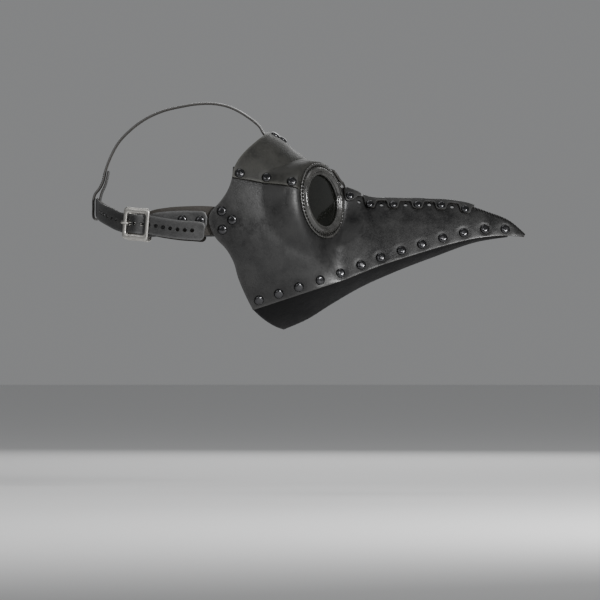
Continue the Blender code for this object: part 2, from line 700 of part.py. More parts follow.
def buckle_frame(side_name, side):
    """A cast frame: an oblong loop with two posts down to the bar that the tab folds round."""
    outer = rounded_outline(FRAME_LENGTH, FRAME_WIDTH, 6)
    inner = rounded_outline(WINDOW_LENGTH, WINDOW_WIDTH, 3)
    points = [buckle_place(s, n, w) for n in FRAME_LEVELS for ring in (outer, inner) for s, w in ring]
    count = len(outer)
    faces = []
    for k in range(count):
        after = (k + 1) % count
        low_out, low_in, high_out, high_in = (base * count for base in range(4))
        faces.append((low_out + k, low_in + k, low_in + after, low_out + after))
        faces.append((high_out + k, high_out + after, high_in + after, high_in + k))
        faces.append((low_out + k, low_out + after, high_out + after, high_out + k))
        faces.append((low_in + k, high_in + k, high_in + after, low_in + after))
    loop = make_solid(f"buckle_frame_{side_name}", points, faces, NICKEL, side, BUCKLE_PIVOT)
    bar = cylinders(f"buckle_bar_{side_name}", [(BUCKLE_PIVOT, ACROSS)], BAR_RADIUS,
                    (-BAR_HALF_LENGTH, BAR_HALF_LENGTH), 8)
    if side < 0:
        bar = mirrored_helper(bar, f"buckle_bar_of_{side_name}")
    boolean(loop, bar, "UNION")
    for end in (-1, 1):
        post_w = sorted((end * POST_W[0], end * POST_W[1]))
        post = block_helper(f"buckle_post_{side_name}_{end + 1}", POST_S, POST_N, post_w)
        if side < 0:
            post = mirrored_helper(post, f"buckle_post_of_{side_name}_{end + 1}")
        boolean(loop, post, "UNION")


def tube_rings(middle, radius, sides):
    tangents = unit(np.gradient(middle, axis=0))
    firsts = unit(ACROSS - (tangents @ ACROSS)[:, None] * tangents)
    seconds = np.cross(tangents, firsts)
    turns = 2 * math.pi * np.arange(sides) / sides
    radius = np.broadcast_to(radius, len(middle))[:, None, None]
    return middle[:, None] + radius * (
        np.cos(turns)[None, :, None] * firsts[:, None] + np.sin(turns)[None, :, None] * seconds[:, None]
    )


def buckle_prong(side_name, side):
    """A wire prong: an eye round the bar, and an arm up through the strap's hole over the frame."""
    eye_middle = np.array([
        buckle_place(PRONG_EYE_RADIUS * math.cos(turn), PRONG_EYE_RADIUS * math.sin(turn))
        for turn in np.linspace(math.radians(-352), math.radians(-28), 13)
    ])
    arm_middle = smooth_path([buckle_place(s, n) for s, n in PRONG_ARM], 2.4)
    middle = np.concatenate([eye_middle[:-1], arm_middle])
    radius = np.where(np.arange(len(middle)) < len(eye_middle), PRONG_EYE_WIRE, PRONG_RADIUS)
    radius = np.minimum(radius, PRONG_EYE_WIRE + 0.1 * distances(middle))
    rings = tube_rings(middle, radius, 6)
    count = len(middle)
    faces = [tuple(range(6)), tuple((count - 1) * 6 + k for k in reversed(range(6)))]
    for i in range(count - 1):
        for k in range(6):
            after = (k + 1) % 6
            faces.append((i * 6 + k, (i + 1) * 6 + k, (i + 1) * 6 + after, i * 6 + after))
    make_solid(f"buckle_prong_{side_name}", rings.reshape(-1, 3), faces, NICKEL, side, BUCKLE_PIVOT)


def crown_strap(holes):
    """The strap from under the brow over the crown, looped under the rear strap and sewn back."""
    tucked = [(x, float(crest(x)) - CROWN_TUCK) for x in CROWN_TUCK_COLUMNS]
    loop_x, loop_z = CROWN_ROUTE[-1]
    loop = [
        (loop_x + CROWN_LOOP_RADIUS * (1 + math.cos(turn)), loop_z + CROWN_LOOP_RADIUS * math.sin(turn))
        for turn in np.linspace(math.pi, 2 * math.pi, 7)[1:]
    ]
    route = [(x, 0, z) for x, z in [*tucked, *CROWN_ROUTE, *loop, *CROWN_RETURN]]
    middle = smooth_path(route, 8)
    half = np.full(len(middle), CROWN_WIDTH / 2)
    half[0] = half[-1] = CROWN_WIDTH / 2 - 3
    curl = through(CROWN_CURL)(middle[:, 0])
    strap = band(
        "crown_strap", middle[::-1], half[::-1], LEATHER, STRAP_LEATHER, np.array([0.0, 1.0, 0.0]), 1,
        curl[::-1],
    )
    boolean(strap, holes)


# ---------------------------------------------------------------- assembly

clear_scene()
HELPER = finish("helper", (0.5, 0.5, 0.5), 0.5)
SIDE_LEATHER = finish("side leather", (0.022, 0.022, 0.024), 0.42)
BROW_LEATHER = finish("brow leather", (0.045, 0.045, 0.041), 0.5)
LOWER_LEATHER = finish("lower beak leather", (0.008, 0.008, 0.009), 0.6)
RIDGE_LEATHER = finish("ridge leather", (0.028, 0.028, 0.029), 0.45)
RIM_LEATHER = finish("eye rim leather", (0.05, 0.048, 0.046), 0.4)
STRAP_LEATHER = finish("strap leather", (0.03, 0.029, 0.028), 0.5)
LENS_GLASS = finish("dark lens glass", (0.01, 0.01, 0.01), 0.08)
NICKEL = finish("nickel", (0.55, 0.53, 0.5), 0.3, 1.0)
RIVET_METAL = finish("black nickel", (0.12, 0.12, 0.13), 0.25, 1.0)

jaw_rises = [min(JAW_RIVET_RISE, 0.36 * float(crest(x) - jaw(x))) for x in JAW_RIVETS]
jaw_spots = [(x, float(jaw(x)) + rise) for x, rise in zip(JAW_RIVETS, jaw_rises)]
jaw_places = surface_places(jaw_spots)
ear_places = surface_places(EAR_RIVETS)
crown_places = []
for _, x, y in CROWN_RIVETS:
    normal = unit(np.array([0.55, y / 60, 0.83]))
    fall = 0.5 * y * y / 90
    crown_places.append((np.array([x, y, float(crest(x)) - fall]), normal))

jaw_holes = cylinders("jaw_holes_left", jaw_places, RIVET_HOLE_RADIUS, (-9, 4))
ear_holes = cylinders("ear_holes_left", ear_places, RIVET_HOLE_RADIUS, (-8, 4))
vent_holes = cylinders("vent_holes_left", surface_places(VENTS), VENT_RADIUS, (-5, 4))
eye_hole = cylinders("eye_hole_left", [(EYE_CENTRE, EYE_NORMAL)], EYE_HOLE_RADIUS, (-9, 9), EYE_SIDES)
tab_places = [(np.array([x, tab_outside(x), z]), np.array([0.0, 1.0, 0.0])) for x, z in TAB_RIVETS]
tab_holes = cylinders("tab_holes_left", tab_places, RIVET_HOLE_RADIUS, (-9, 3))
crown_holes = cylinders("crown_holes", crown_places, RIVET_HOLE_RADIUS, (-6, 7))
prong_slot = block_helper("prong_slot_left", *PRONG_SLOT)

brow_panel([eye_hole, mirrored_helper(eye_hole, "eye_hole_right"), crown_holes])
crown_strap(crown_holes)
rear_strap()
ridge_strip()
nose_bridge()

for side_name, side in (("left", 1), ("right", -1)):
    helpers = [jaw_holes, ear_holes, vent_holes, eye_hole, tab_holes, prong_slot]
    if side < 0:
        helpers = [mirrored_helper(helper, helper.name.replace("left", "mirrored")) for helper in helpers]
    jaw_cut, ear_cut, vent_cut, eye_cut, tab_cut, slot_cut = helpers
    side_panel(side_name, side, [eye_cut, jaw_cut, ear_cut, vent_cut])
    lower_beak(side_name, side, jaw_cut)
    eye(side_name, side)
    buckle_tab(side_name, side, [slot_cut, ear_cut, tab_cut])
    buckle_frame(side_name, side)
    buckle_prong(side_name, side)
    for number, (place, axis) in enumerate(jaw_places, 1):
        back_radius = TIP_BACK_CAP_RADIUS if number == len(jaw_places) else BACK_CAP_RADIUS
        name = f"jaw_rivet_{side_name}_{number:02d}"
        rivet(name, place, axis, LEATHER + GAP + LINING_LEATHER, side, back_radius)
    for number, (place, axis) in enumerate(ear_places, 1):
        rivet(f"ear_rivet_{side_name}_{number}", place, axis, 2 * LEATHER + 3 * GAP, side)
    for number, (place, axis) in enumerate(tab_places, 1):
        rivet(f"tab_rivet_{side_name}_{number}", place, axis, 2 * LEATHER + GAP, side)
for (rivet_name, _, _), (place, axis) in zip(CROWN_RIVETS, crown_places):
    rivet(f"crown_rivet_{rivet_name}", place + (LEATHER + GAP) * axis, axis, 2 * LEATHER + 3 * GAP)
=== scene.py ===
import math

import bmesh
import bpy
import numpy as np
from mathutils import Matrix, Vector


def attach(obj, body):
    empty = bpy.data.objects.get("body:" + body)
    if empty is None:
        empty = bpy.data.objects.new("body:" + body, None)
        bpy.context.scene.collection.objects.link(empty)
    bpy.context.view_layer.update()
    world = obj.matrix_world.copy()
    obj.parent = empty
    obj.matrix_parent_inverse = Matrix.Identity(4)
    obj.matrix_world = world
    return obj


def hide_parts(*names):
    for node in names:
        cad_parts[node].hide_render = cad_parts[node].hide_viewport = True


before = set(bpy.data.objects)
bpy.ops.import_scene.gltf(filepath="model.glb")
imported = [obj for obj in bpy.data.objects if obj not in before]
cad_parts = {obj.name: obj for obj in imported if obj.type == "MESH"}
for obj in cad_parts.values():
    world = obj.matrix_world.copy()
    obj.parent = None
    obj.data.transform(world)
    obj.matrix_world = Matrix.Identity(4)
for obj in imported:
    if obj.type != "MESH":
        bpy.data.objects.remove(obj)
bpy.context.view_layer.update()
MM = 0.001
UP = np.array([0.0, 0.0, 1.0])

# ------------------------------------------------------------------ studio
# A pale floor well below the mask, a soft key from the front above, and a long lens square to the mask's
# right side, so that the profile is seen almost without perspective.


def soft_lamp(name, place, target, size, watts, colour=(1.0, 1.0, 1.0)):
    """A square soft box aimed at a place."""
    lamp = bpy.data.lights.new(name, "AREA")
    lamp.size = size
    lamp.energy = watts
    lamp.color = colour
    holder = bpy.data.objects.new(name, lamp)
    holder.location = place
    aim = Vector(target) - Vector(place)
    holder.rotation_euler = aim.to_track_quat("-Z", "Y").to_euler()
    bpy.context.scene.collection.objects.link(holder)


VIEW_CENTRE = (0.0790, 0.0, -0.0819)
VIEW_DISTANCE = 7.0
VIEW_WIDTH = 0.630

lens = bpy.data.cameras.new("long lens")
lens.sensor_width = 36
lens.lens = 36 * VIEW_DISTANCE / VIEW_WIDTH
lens.clip_end = 100
camera = bpy.data.objects.new("camera", lens)
camera.location = (VIEW_CENTRE[0], -VIEW_DISTANCE, VIEW_CENTRE[2])
camera.rotation_euler = (math.pi / 2, 0, 0)
bpy.context.scene.collection.objects.link(camera)
bpy.context.scene.camera = camera

soft_lamp("key", (1.1, -1.35, 0.5), (0.1, 0, 0), 0.45, 32)
soft_lamp("front", (0.7, -2.2, 1.5), (0.1, 0, 0), 0.35, 5)
soft_lamp("fill", (-0.8, -1.7, 0.9), (0.0, 0, 0), 1.1, 6)
soft_lamp("top", (-0.1, 0.1, 1.4), (0.05, 0, 0), 0.8, 3)
soft_lamp("far side", (0.3, 1.6, 0.7), (0.05, 0, 0), 1.2, 10)

world = bpy.data.worlds.new("pale room")
world.use_nodes = True
world.node_tree.nodes["Background"].inputs["Color"].default_value = (0.80, 0.81, 0.82, 1)
world.node_tree.nodes["Background"].inputs["Strength"].default_value = 0.29
bpy.context.scene.world = world


# ------------------------------------------------------------------ finishes
# How a finish is mixed: Wire is a shader value with ordinary arithmetic, Finish is a material being made.


class Wire:
    """One output socket. Arithmetic on it adds Math nodes."""

    def __init__(self, graph, socket):
        self.graph = graph
        self.socket = socket

    def maths(self, operation, first, second):
        return self.graph.node("ShaderNodeMath", {"operation": operation}, {0: first, 1: second})

    def __add__(self, other):
        return self.maths("ADD", self, other)

    __radd__ = __add__

    def __sub__(self, other):
        return self.maths("SUBTRACT", self, other)

    def __rsub__(self, other):
        return self.maths("SUBTRACT", other, self)

    def __gt__(self, other):
        return self.maths("GREATER_THAN", self, other)

    def __mul__(self, other):
        return self.maths("MULTIPLY", self, other)

    __rmul__ = __mul__

    def __pow__(self, other):
        return self.maths("POWER", self, other)


class Graph:
    """A node tree being wired up."""

    def __init__(self, tree):
        self.tree = tree

    def node(self, kind, settings=None, sockets=None, output=0):
        """Adds a node. settings are its own, with a ramp's stops as (place, grey) pairs."""
        made = self.tree.nodes.new(kind)
        for name, value in (settings or {}).items():
            if name == "stops":
                ramp = made.color_ramp.elements
                ramp[0].position, ramp[1].position = value[0][0], value[-1][0]
                for place, _ in value[1:-1]:
                    ramp.new(place)
                for stop, (_, grey) in zip(ramp, value):
                    stop.color = (grey, grey, grey, 1)
            else:
                setattr(made, name, value)
        for place, value in (sockets or {}).items():
            for one in value if isinstance(value, list) else [value]:
                self.feed(made.inputs[place], one)
        return Wire(self, made.outputs[output]) if made.outputs else None

    def feed(self, socket, value):
        if isinstance(value, Wire):
            self.tree.links.new(value.socket, socket)
        else:
            socket.default_value = value


class Finish(Graph):
    """A material whose Principled shader has its even values set, and is then fed wire by wire."""

    def __init__(self, name, **even):
        self.material = bpy.data.materials.new(name)
        self.material.use_nodes = True
        super().__init__(self.material.node_tree)
        self.shader = self.tree.nodes["Principled BSDF"]
        for socket, value in even.items():
            self.shader.inputs[socket.replace("_", " ")].default_value = value

    def show(self, name, value):
        self.feed(self.shader.inputs[name], value)

    def blend(self, share, first, second):
        """A colour between two, each a wire or three numbers."""
        first, second = ((*c, 1.0) if isinstance(c, tuple) else c for c in (first, second))
        return self.node("ShaderNodeMix", {"data_type": "RGBA"}, {0: share, 6: first, 7: second}, 2)

    def place(self):
        return self.node("ShaderNodeTexCoord", output=3)

    def stored(self, name):
        return self.node("ShaderNodeAttribute", {"attribute_name": name}, output=2)

    def noise(self, place, scale, detail=4.0, roughness=0.55):
        sockets = {"Vector": place, "Scale": scale, "Detail": detail, "Roughness": roughness}
        return self.node("ShaderNodeTexNoise", None, sockets)

    def ramp(self, value, stops):
        return self.node("ShaderNodeValToRGB", {"stops": stops}, {0: value})

    def relief(self, height, depth, strength=1.0):
        """Bump of a given depth in metres."""
        sockets = {"Strength": strength, "Distance": depth, "Height": height}
        self.show("Normal", self.node("ShaderNodeBump", None, sockets))


def leather(name, dark, light, gloss, grain=1.0, sheen=0.42):
    """Dyed leather: cloudy dye, fine pores, hand-formed waves, worn edges, and a rough flesh side.

    The mesh says where its cut edges are in "edge", and where the flesh side is in "flesh".
    """
    finish = Finish(name, Specular_IOR_Level=sheen)
    place = finish.place()
    waves = finish.noise(place, 34.0, 3.0)
    clouds = finish.noise(place, 60.0, 5.0, 0.6)
    mottle = finish.noise(place, 420.0, 4.0, 0.65)
    pores = finish.node("ShaderNodeTexVoronoi", {"feature": "F1"}, {"Vector": place, "Scale": 1500.0})
    fibres = finish.noise(place, 1600.0, 3.0, 0.7)
    edge = finish.stored("edge")
    rough_side = finish.stored("flesh")
    share = finish.ramp(waves * 0.4 + clouds * 0.4 + mottle * 0.2, ((0.39, 0.0), (0.62, 1.0)))
    worn_colour = tuple(min(1.0, c * 2.2 + 0.008) for c in light)
    worn = finish.blend(edge * (0.25 + mottle * 0.7), finish.blend(share, dark, light), worn_colour)
    felt = finish.blend(fibres, (0.020, 0.018, 0.016), (0.052, 0.046, 0.040))
    finish.show("Base Color", finish.blend(rough_side, worn, felt))
    polish = gloss + (waves - 0.5) * 0.3 + (clouds - 0.5) * 0.4 + (mottle - 0.5) * 0.35 - edge * 0.06
    finish.show("Roughness", polish + rough_side * (0.86 - gloss))
    skin = pores * 0.2 + mottle * 0.75 + clouds * 1.9 + waves * 3.5
    finish.relief((1 - rough_side) * skin + rough_side * fibres, 0.0003 * grain, 0.5)
    return finish.material


def metal(name, colour, roughness, scratch, tarnish):
    """Plated metal: fine scratches, and dull patches where the plating has tarnished."""
    finish = Finish(name, Metallic=1.0)
    place = finish.place()
    patches = finish.noise(place, 160.0, 4.0)
    scratches = finish.noise(
        finish.node("ShaderNodeMapping", None, {"Vector": place, "Scale": (1.0, 1.0, 9.0)}), 900.0, 2.0, 0.7
    )
    dull = finish.ramp(patches, ((0.45, 0.0), (0.75, 1.0)))
    finish.show("Base Color", finish.blend(dull * tarnish, colour, tuple(c * 0.5 for c in colour)))
    finish.show("Roughness", roughness + dull * 0.18 + (scratches - 0.5) * scratch)
    finish.relief(scratches, 0.00002, 0.4)
    return finish.material


# ------------------------------------------------------------------ side panels
# One big panel of firm leather for each side of the face, from the ear to the tip of the beak. It is wet
# formed round the eye and cheek, its cut edges are burnished, and five vent holes are punched by the ridge.

SIDE_LEATHER = leather("side leather", (0.0040, 0.0040, 0.0042), (0.0175, 0.0174, 0.0170), 0.40)
LEATHER_THICKNESS = 2.4
MIDLINE = 0.15
MIRROR = np.array([1, -1, 1])

CREST = (
    (-20, 116), (10, 107), (30, 98.5), (44, 92.8), (55, 86.6), (76, 70.7), (106, 48), (124, 36),
    (137, 30.8), (150, 24.6), (170, 23.2), (212, 22.3), (250, 18.8), (276, 10.8), (302, -0.8), (315.5, -12.7),
)
JAW = (
    (30, -92.5), (77, -77), (124, -61), (163, -45.5), (196, -35), (231, -24.5), (266, -16.5),
    (290, -14), (315.5, -14.5),
)
EAR_EDGE = (
    (-92.4, 30), (-78.9, 23.2), (-59.4, 15), (-39.9, 9), (-26.4, 0.7), (-18.9, -6.7), (-6.9, -13.5),
    (3.6, -15.8), (11.1, -13.5), (20.1, -5.3), (32.1, 3), (46.8, 8.3), (59, 9.5),
)
BROW_SEAM = ((8.3, 45.3), (44, 38.7), (77.7, 29.6), (100, 29), (118, 29))
HEAD_WIDTH = ((-20, 82), (20, 82), (40, 80), (60, 77), (80, 73), (100, 66), (130, 50))
BEAK_WIDTH = (
    (30, 40), (77, 50), (124, 47), (163, 38.5), (196, 31.5), (231, 24), (266, 15.5), (290, 9.6),
    (304, 6.2), (315.5, 3.2),
)
EYE_CENTRE = np.array([101.3, 42.0, 21.6])
EYE_NORMAL = np.array([0.823, 0.55, 0.138]) / np.linalg.norm([0.823, 0.55, 0.138])
EYE_SEAT_RADIUS = 40.5
EYE_FALL_TOP, EYE_FALL_SPAN = 63.0, 17.0
EYE_FALL_BROW, EYE_FALL_CHEEK, EYE_CREASE = 5.0, 24.0, 11.0
EYE_HOLE_RADIUS = 30.4
VENT_RADIUS = 2.1
VENTS = ((141.2, 21.3), (164.5, 18.2), (189.8, 18.2), (214.7, 18.4), (238.6, 16.1))
JAW_RIVETS = (36.4, 57, 78, 100.2, 121.5, 142.9, 163.3, 185.1, 206.5, 228.6, 250.6, 272.7, 294.3)
EAR_RIVETS = ((-2.2, 10.4), (8.6, 1.4), (-1.5, -8.8))


def through(points):
    """A smooth curve through (x, value) points, as a function of x."""
    places, values = np.array(points, float).T
    slopes = np.gradient(values, places)

    def curve(place):
        place = np.clip(np.asarray(place, float), places[0], places[-1])
        i = np.clip(np.searchsorted(places, place) - 1, 0, len(places) - 2)
        span = places[i + 1] - places[i]
        t = (place - places[i]) / span
        start = (2 * t**3 - 3 * t**2 + 1) * values[i] + (t**3 - 2 * t**2 + t) * span * slopes[i]
        end = (3 * t**2 - 2 * t**3) * values[i + 1] + (t**3 - t**2) * span * slopes[i + 1]
        return start + end

    return curve


crest, jaw, ear_edge, brow_seam = through(CREST), through(JAW), through(EAR_EDGE), through(BROW_SEAM)
head_width, beak_width = through(HEAD_WIDTH), through(BEAK_WIDTH)


def smooth_step(value):
    value = np.clip(value, 0.0, 1.0)
    return value * value * (3 - 2 * value)


def unit(vectors):
    return vectors / np.maximum(np.linalg.norm(vectors, axis=-1, keepdims=True), 1e-9)


def rounded_mix(a, b, power):
    """The larger of a and b with a soft corner; a negative power gives the smaller."""
    return (np.maximum(a, 1e-3) ** power + np.maximum(b, 1e-3) ** power) ** (1 / power)


def half_width(x, z):
    """Distance of the mask's outer surface from the midline."""
    top, bottom = crest(x), jaw(x)
    dome = (1 - np.clip(z / np.maximum(top, 1e-3), 0, 1) ** 2) ** 0.45
    cheek = 1 - 0.24 * np.clip(z / bottom, 0, 1.5) ** 2
    side = head_width(x) * np.where(z > 0, dome, cheek)
    eye_plane = EYE_CENTRE[1] - (
        EYE_NORMAL[0] * (x - EYE_CENTRE[0]) + EYE_NORMAL[2] * (z - EYE_CENTRE[2])
    ) / EYE_NORMAL[1]
    down = np.clip((top - z) / (top - bottom), 0, 1.2)
    beak = beak_width(x) * down * (1 + 0.4 * (1 - down))
    return np.maximum(rounded_mix(rounded_mix(side, eye_plane, -6), beak, 6), MIDLINE)


def eye_distance(points):
    """Distance from the eye's axis, and height along it."""
    offset = points - EYE_CENTRE
    height = offset @ EYE_NORMAL
    return np.linalg.norm(offset - height[..., None] * EYE_NORMAL, axis=-1), height


def side_surface(x, z):
    """Outer surface of the left side, lifted to a flat seat under the eye ring."""
    x, z = np.broadcast_arrays(np.asarray(x, float), np.asarray(z, float))
    points = np.stack([x, half_width(x, z), z], axis=-1)
    distance, height = eye_distance(points)
    below = smooth_step((EYE_FALL_TOP - points[..., 2]) / EYE_FALL_SPAN)
    fall = EYE_FALL_BROW + (EYE_FALL_CHEEK - EYE_FALL_BROW) * below
    span = EYE_CREASE + (fall - EYE_CREASE) * smooth_step(0.5 - height / 14)
    free = smooth_step((distance - EYE_SEAT_RADIUS) / span)
    lift = height * (free - 1) * smooth_step(points[..., 1] / 12)
    points = points + lift[..., None] * EYE_NORMAL
    points[..., 1] = np.maximum(points[..., 1], MIDLINE)
    return points


def side_normal(x, z, step=1.5):
    """Outward normal of the left side."""
    along = side_surface(x + step, z) - side_surface(x - step, z)
    up = side_surface(x, z + step) - side_surface(x, z - step)
    return unit(np.cross(up, along))


def grid_normals(points):
    """Normals of a grid whose columns run forward and whose rows run up the left side."""
    return unit(np.cross(np.gradient(points, axis=1), np.gradient(points, axis=0)))


def pressed(points, places, depth, reach):
    """How far the leather is drawn in round each fastener."""
    drawn = np.zeros(points.shape[:-1])
    for place in places:
        away = np.linalg.norm(points - place, axis=-1)
        drawn = np.maximum(drawn, depth * (1 - smooth_step((away - 4.5) / reach)))
    return drawn


def mesh_piece(name, points, faces, material, side=1, values=None):
    """A piece from points in millimetres, with its normals turned out; side -1 is the wearer's right."""
    mesh = bpy.data.meshes.new(name)
    points = np.asarray(points, float) * np.array([1, side, 1]) * MM
    mesh.from_pydata([tuple(point) for point in points], [], [tuple(face) for face in faces])
    for attribute, numbers in (values or {}).items():
        stored = mesh.attributes.new(attribute, "FLOAT", "POINT")
        stored.data.foreach_set("value", np.asarray(numbers, np.float32).ravel())
    turned = bmesh.new()
    turned.from_mesh(mesh)
    bmesh.ops.recalc_face_normals(turned, faces=turned.faces)
    turned.to_mesh(mesh)
    turned.free()
    mesh.materials.append(material)
    mesh.shade_smooth()
    piece = bpy.data.objects.new(name, mesh)
    bpy.context.scene.collection.objects.link(piece)
    return piece


def mirrored(piece, name):
    """The same piece on the wearer's right."""
    mesh = piece.data.copy()
    for vertex in mesh.vertices:
        vertex.co.y = -vertex.co.y
    mesh.flip_normals()
    copy = bpy.data.objects.new(name, mesh)
    bpy.context.scene.collection.objects.link(copy)
    return copy


def fit(piece, body, node, slot_name):
    """The piece stands for a CAD node and moves with its body. slot_name is not used."""
    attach(piece, body)
    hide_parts(node)


def fit_pair(piece, name, node, slot_name, body="mask"):
    """The left piece and its mirror image stand for a pair of CAD nodes."""
    piece.name = f"{name}_left"
    ends = ("", "") if body == "mask" else ("_left", "_right")
    fit(piece, body + ends[0], f"{node}_left", slot_name)
    fit(mirrored(piece, f"{name}_right"), body + ends[1], f"{node}_right", slot_name)


def shell_faces(columns, rows, closed=False):
    """Faces of a shell made of an outer grid followed by an inner one, with its edges closed."""
    layer = columns * rows

    def at(i, j, inner=0):
        return inner * layer + (i % columns) * rows + j

    faces = []
    for i in range(columns if closed else columns - 1):
        for j in range(rows - 1):
            faces.append((at(i, j), at(i + 1, j), at(i + 1, j + 1), at(i, j + 1)))
            faces.append((at(i, j, 1), at(i, j + 1, 1), at(i + 1, j + 1, 1), at(i + 1, j, 1)))
        faces.append((at(i, 0, 1), at(i + 1, 0, 1), at(i + 1, 0), at(i, 0)))
        last = rows - 1
        faces.append((at(i, last), at(i + 1, last), at(i + 1, last, 1), at(i, last, 1)))
    if not closed:
        for j in range(rows - 1):
            end = columns - 1
            faces.append((at(0, j), at(0, j + 1), at(0, j + 1, 1), at(0, j, 1)))
            faces.append((at(end, j, 1), at(end, j + 1, 1), at(end, j + 1), at(end, j)))
    return faces


def edge_distance(points):
    """Distance of each grid point from the nearest cut edge, measured along its column and its row."""
    down = np.linalg.norm(np.diff(points, axis=1), axis=-1)
    across = np.linalg.norm(np.diff(points, axis=0), axis=-1)
    from_low = np.concatenate([np.zeros((len(points), 1)), np.cumsum(down, axis=1)], axis=1)
    from_rear = np.concatenate([np.zeros((1, points.shape[1])), np.cumsum(across, axis=0)], axis=0)
    return np.minimum.reduce([
        from_low, from_low[:, -1:] - from_low, from_rear, from_rear[-1:] - from_rear,
    ])


def leather_piece(name, outer, inner, material, side=1):
    """A leather shell that knows where its cut edges and its flesh side are."""
    columns, rows = outer.shape[:2]
    points = np.concatenate([outer.reshape(-1, 3), inner.reshape(-1, 3)])
    wear = np.exp(-((edge_distance(outer) / 1.6) ** 2)).ravel()
    values = {
        "edge": np.concatenate([wear, wear * 0.6]),
        "flesh": np.concatenate([np.zeros(columns * rows), np.ones(columns * rows)]),
    }
    return mesh_piece(name, points, shell_faces(columns, rows), material, side, values)


def punch(piece, cutter):
    """Cuts one mesh out of another for good, and removes the cutter."""
    modifier = piece.modifiers.new("punch", "BOOLEAN")
    modifier.solver = "EXACT"
    modifier.object = cutter
    settle(piece)
    bpy.data.objects.remove(cutter, do_unlink=True)


def settle(piece):
    """Makes a piece's modifiers part of its mesh."""
    graph = bpy.context.evaluated_depsgraph_get()
    mesh = bpy.data.meshes.new_from_object(piece.evaluated_get(graph))
    piece.modifiers.clear()
    piece.data = mesh


def round_edges(piece, width, segments=2, angle=40):
    """Rounds a piece's sharp edges, as burnishing does."""
    bevel = piece.modifiers.new("rounding", "BEVEL")
    bevel.width = width * MM
    bevel.segments = segments
    bevel.limit_method = "ANGLE"
    bevel.angle_limit = math.radians(angle)
    bevel.use_clamp_overlap = True
    settle(piece)
    piece.data.shade_smooth()
    piece.data.set_sharp_from_angle(angle=math.radians(50))


def frame_round(axis):
    """Two unit vectors square to the axis and to each other."""
    first = unit(np.cross(axis, UP if abs(axis[2]) < 0.9 else np.array([1.0, 0.0, 0.0])))
    return first, np.cross(axis, first)


def rods(name, axes, radius, reach, side=1, sides=24):
    """Cylinders for cutting holes, one for each (centre, axis)."""
    points, faces = [], []
    for centre, axis in axes:
        first, second = frame_round(axis)
        base = len(points)
        for end in reach:
            for k in range(sides):
                turn = 2 * math.pi * k / sides
                ring = radius * (math.cos(turn) * first + math.sin(turn) * second)
                points.append(centre + end * axis + ring)
        faces.append(tuple(base + k for k in reversed(range(sides))))
        faces.append(tuple(base + sides + k for k in range(sides)))
        for k in range(sides):
            after = (k + 1) % sides
            faces.append((base + k, base + after, base + sides + after, base + sides + k))
    return mesh_piece(name, points, faces, None, side)


def eye_cutter(side=1):
    """A plug that cuts the eye opening through a panel."""
    return rods("eye hole", [(EYE_CENTRE, EYE_NORMAL)], EYE_HOLE_RADIUS, (-9, 9), side, 96)


def on_side(spots, standing=0.0):
    """(place, normal) under what is seen at each (x, z) from the side, standing this far off the leather."""
    places = []
    for spot in np.array(spots, float):
        aim = spot.copy()
        for _ in range(14):
            seen = side_surface(*aim) + standing * side_normal(*aim)
            aim = aim + 0.7 * (spot - seen[[0, 2]])
        places.append((side_surface(*aim), side_normal(*aim)))
    return places


jaw_rise = [min(8.2, 0.36 * float(crest(x) - jaw(x))) for x in JAW_RIVETS]
jaw_places = on_side([(x, float(jaw(x)) + rise) for x, rise in zip(JAW_RIVETS, jaw_rise)])
ear_places = on_side(EAR_RIVETS)
vent_places = on_side(VENTS)

# The panel tucks under the brow behind this x, and meets the brow's edge in front of it.
TUCK_END = 54.0
TUCK_RELIEF = 0.5
JAW_START, JAW_END = 30, 314.5
EAR_TOP = 59
DIMPLE_DEPTH, DIMPLE_REACH = 0.55, 4.0
column_x = np.concatenate([
    np.linspace(9.5, TUCK_END, 22), np.linspace(TUCK_END + 0.6, 119, 34), np.linspace(121, 160, 20),
    np.linspace(162, 315.5, 66),
])
panel_top = np.where(
    column_x <= TUCK_END, brow_seam(column_x) + 12,
    np.where(column_x < 120, brow_seam(column_x) - 0.4, crest(column_x)),
)
panel_low_x = JAW_START + (column_x - column_x[0]) * (JAW_END - JAW_START) / (column_x[-1] - column_x[0])
panel_rows = 1 - (1 - np.linspace(0, 1, 56)) ** 1.15
panel_u = np.linspace(0, 1, len(column_x))[:, None]
panel_x = (1 - panel_rows) * panel_low_x[:, None] + panel_rows * column_x[:, None]
panel_z = (1 - panel_rows) * jaw(panel_low_x)[:, None] + panel_rows * panel_top[:, None]
rear_z = (1 - panel_rows) * jaw(JAW_START) + panel_rows * EAR_TOP
panel_x = panel_x + (1 - panel_u) ** 12 * (ear_edge(rear_z) - panel_x[0])
panel_outer = side_surface(panel_x, panel_z)
tucked_in = smooth_step((panel_z - brow_seam(panel_x)) / 3) * (panel_x < TUCK_END + 1)
panel_outer = panel_outer - TUCK_RELIEF * tucked_in[..., None] * grid_normals(panel_outer)
panel_normals = grid_normals(panel_outer)
riveted = [place for place, _ in jaw_places + ear_places]
panel_dimples = pressed(panel_outer, riveted, DIMPLE_DEPTH, DIMPLE_REACH)
panel_outer = panel_outer - panel_dimples[..., None] * panel_normals
panel_inner = panel_outer - LEATHER_THICKNESS * panel_normals
panel_inner[:, -1, 2] = np.minimum(panel_inner[:, -1, 2], panel_outer[:, -1, 2] - 0.3)
panel_inner[..., 1] = np.maximum(panel_inner[..., 1], MIDLINE)

panel = leather_piece("side_panel_skin", panel_outer, panel_inner, SIDE_LEATHER)
punch(panel, eye_cutter())
punch(panel, rods("vents", vent_places, VENT_RADIUS, (-5, 4)))
round_edges(panel, 0.55)
fit_pair(panel, "side_panel_skin", "side_panel", "side_leather")
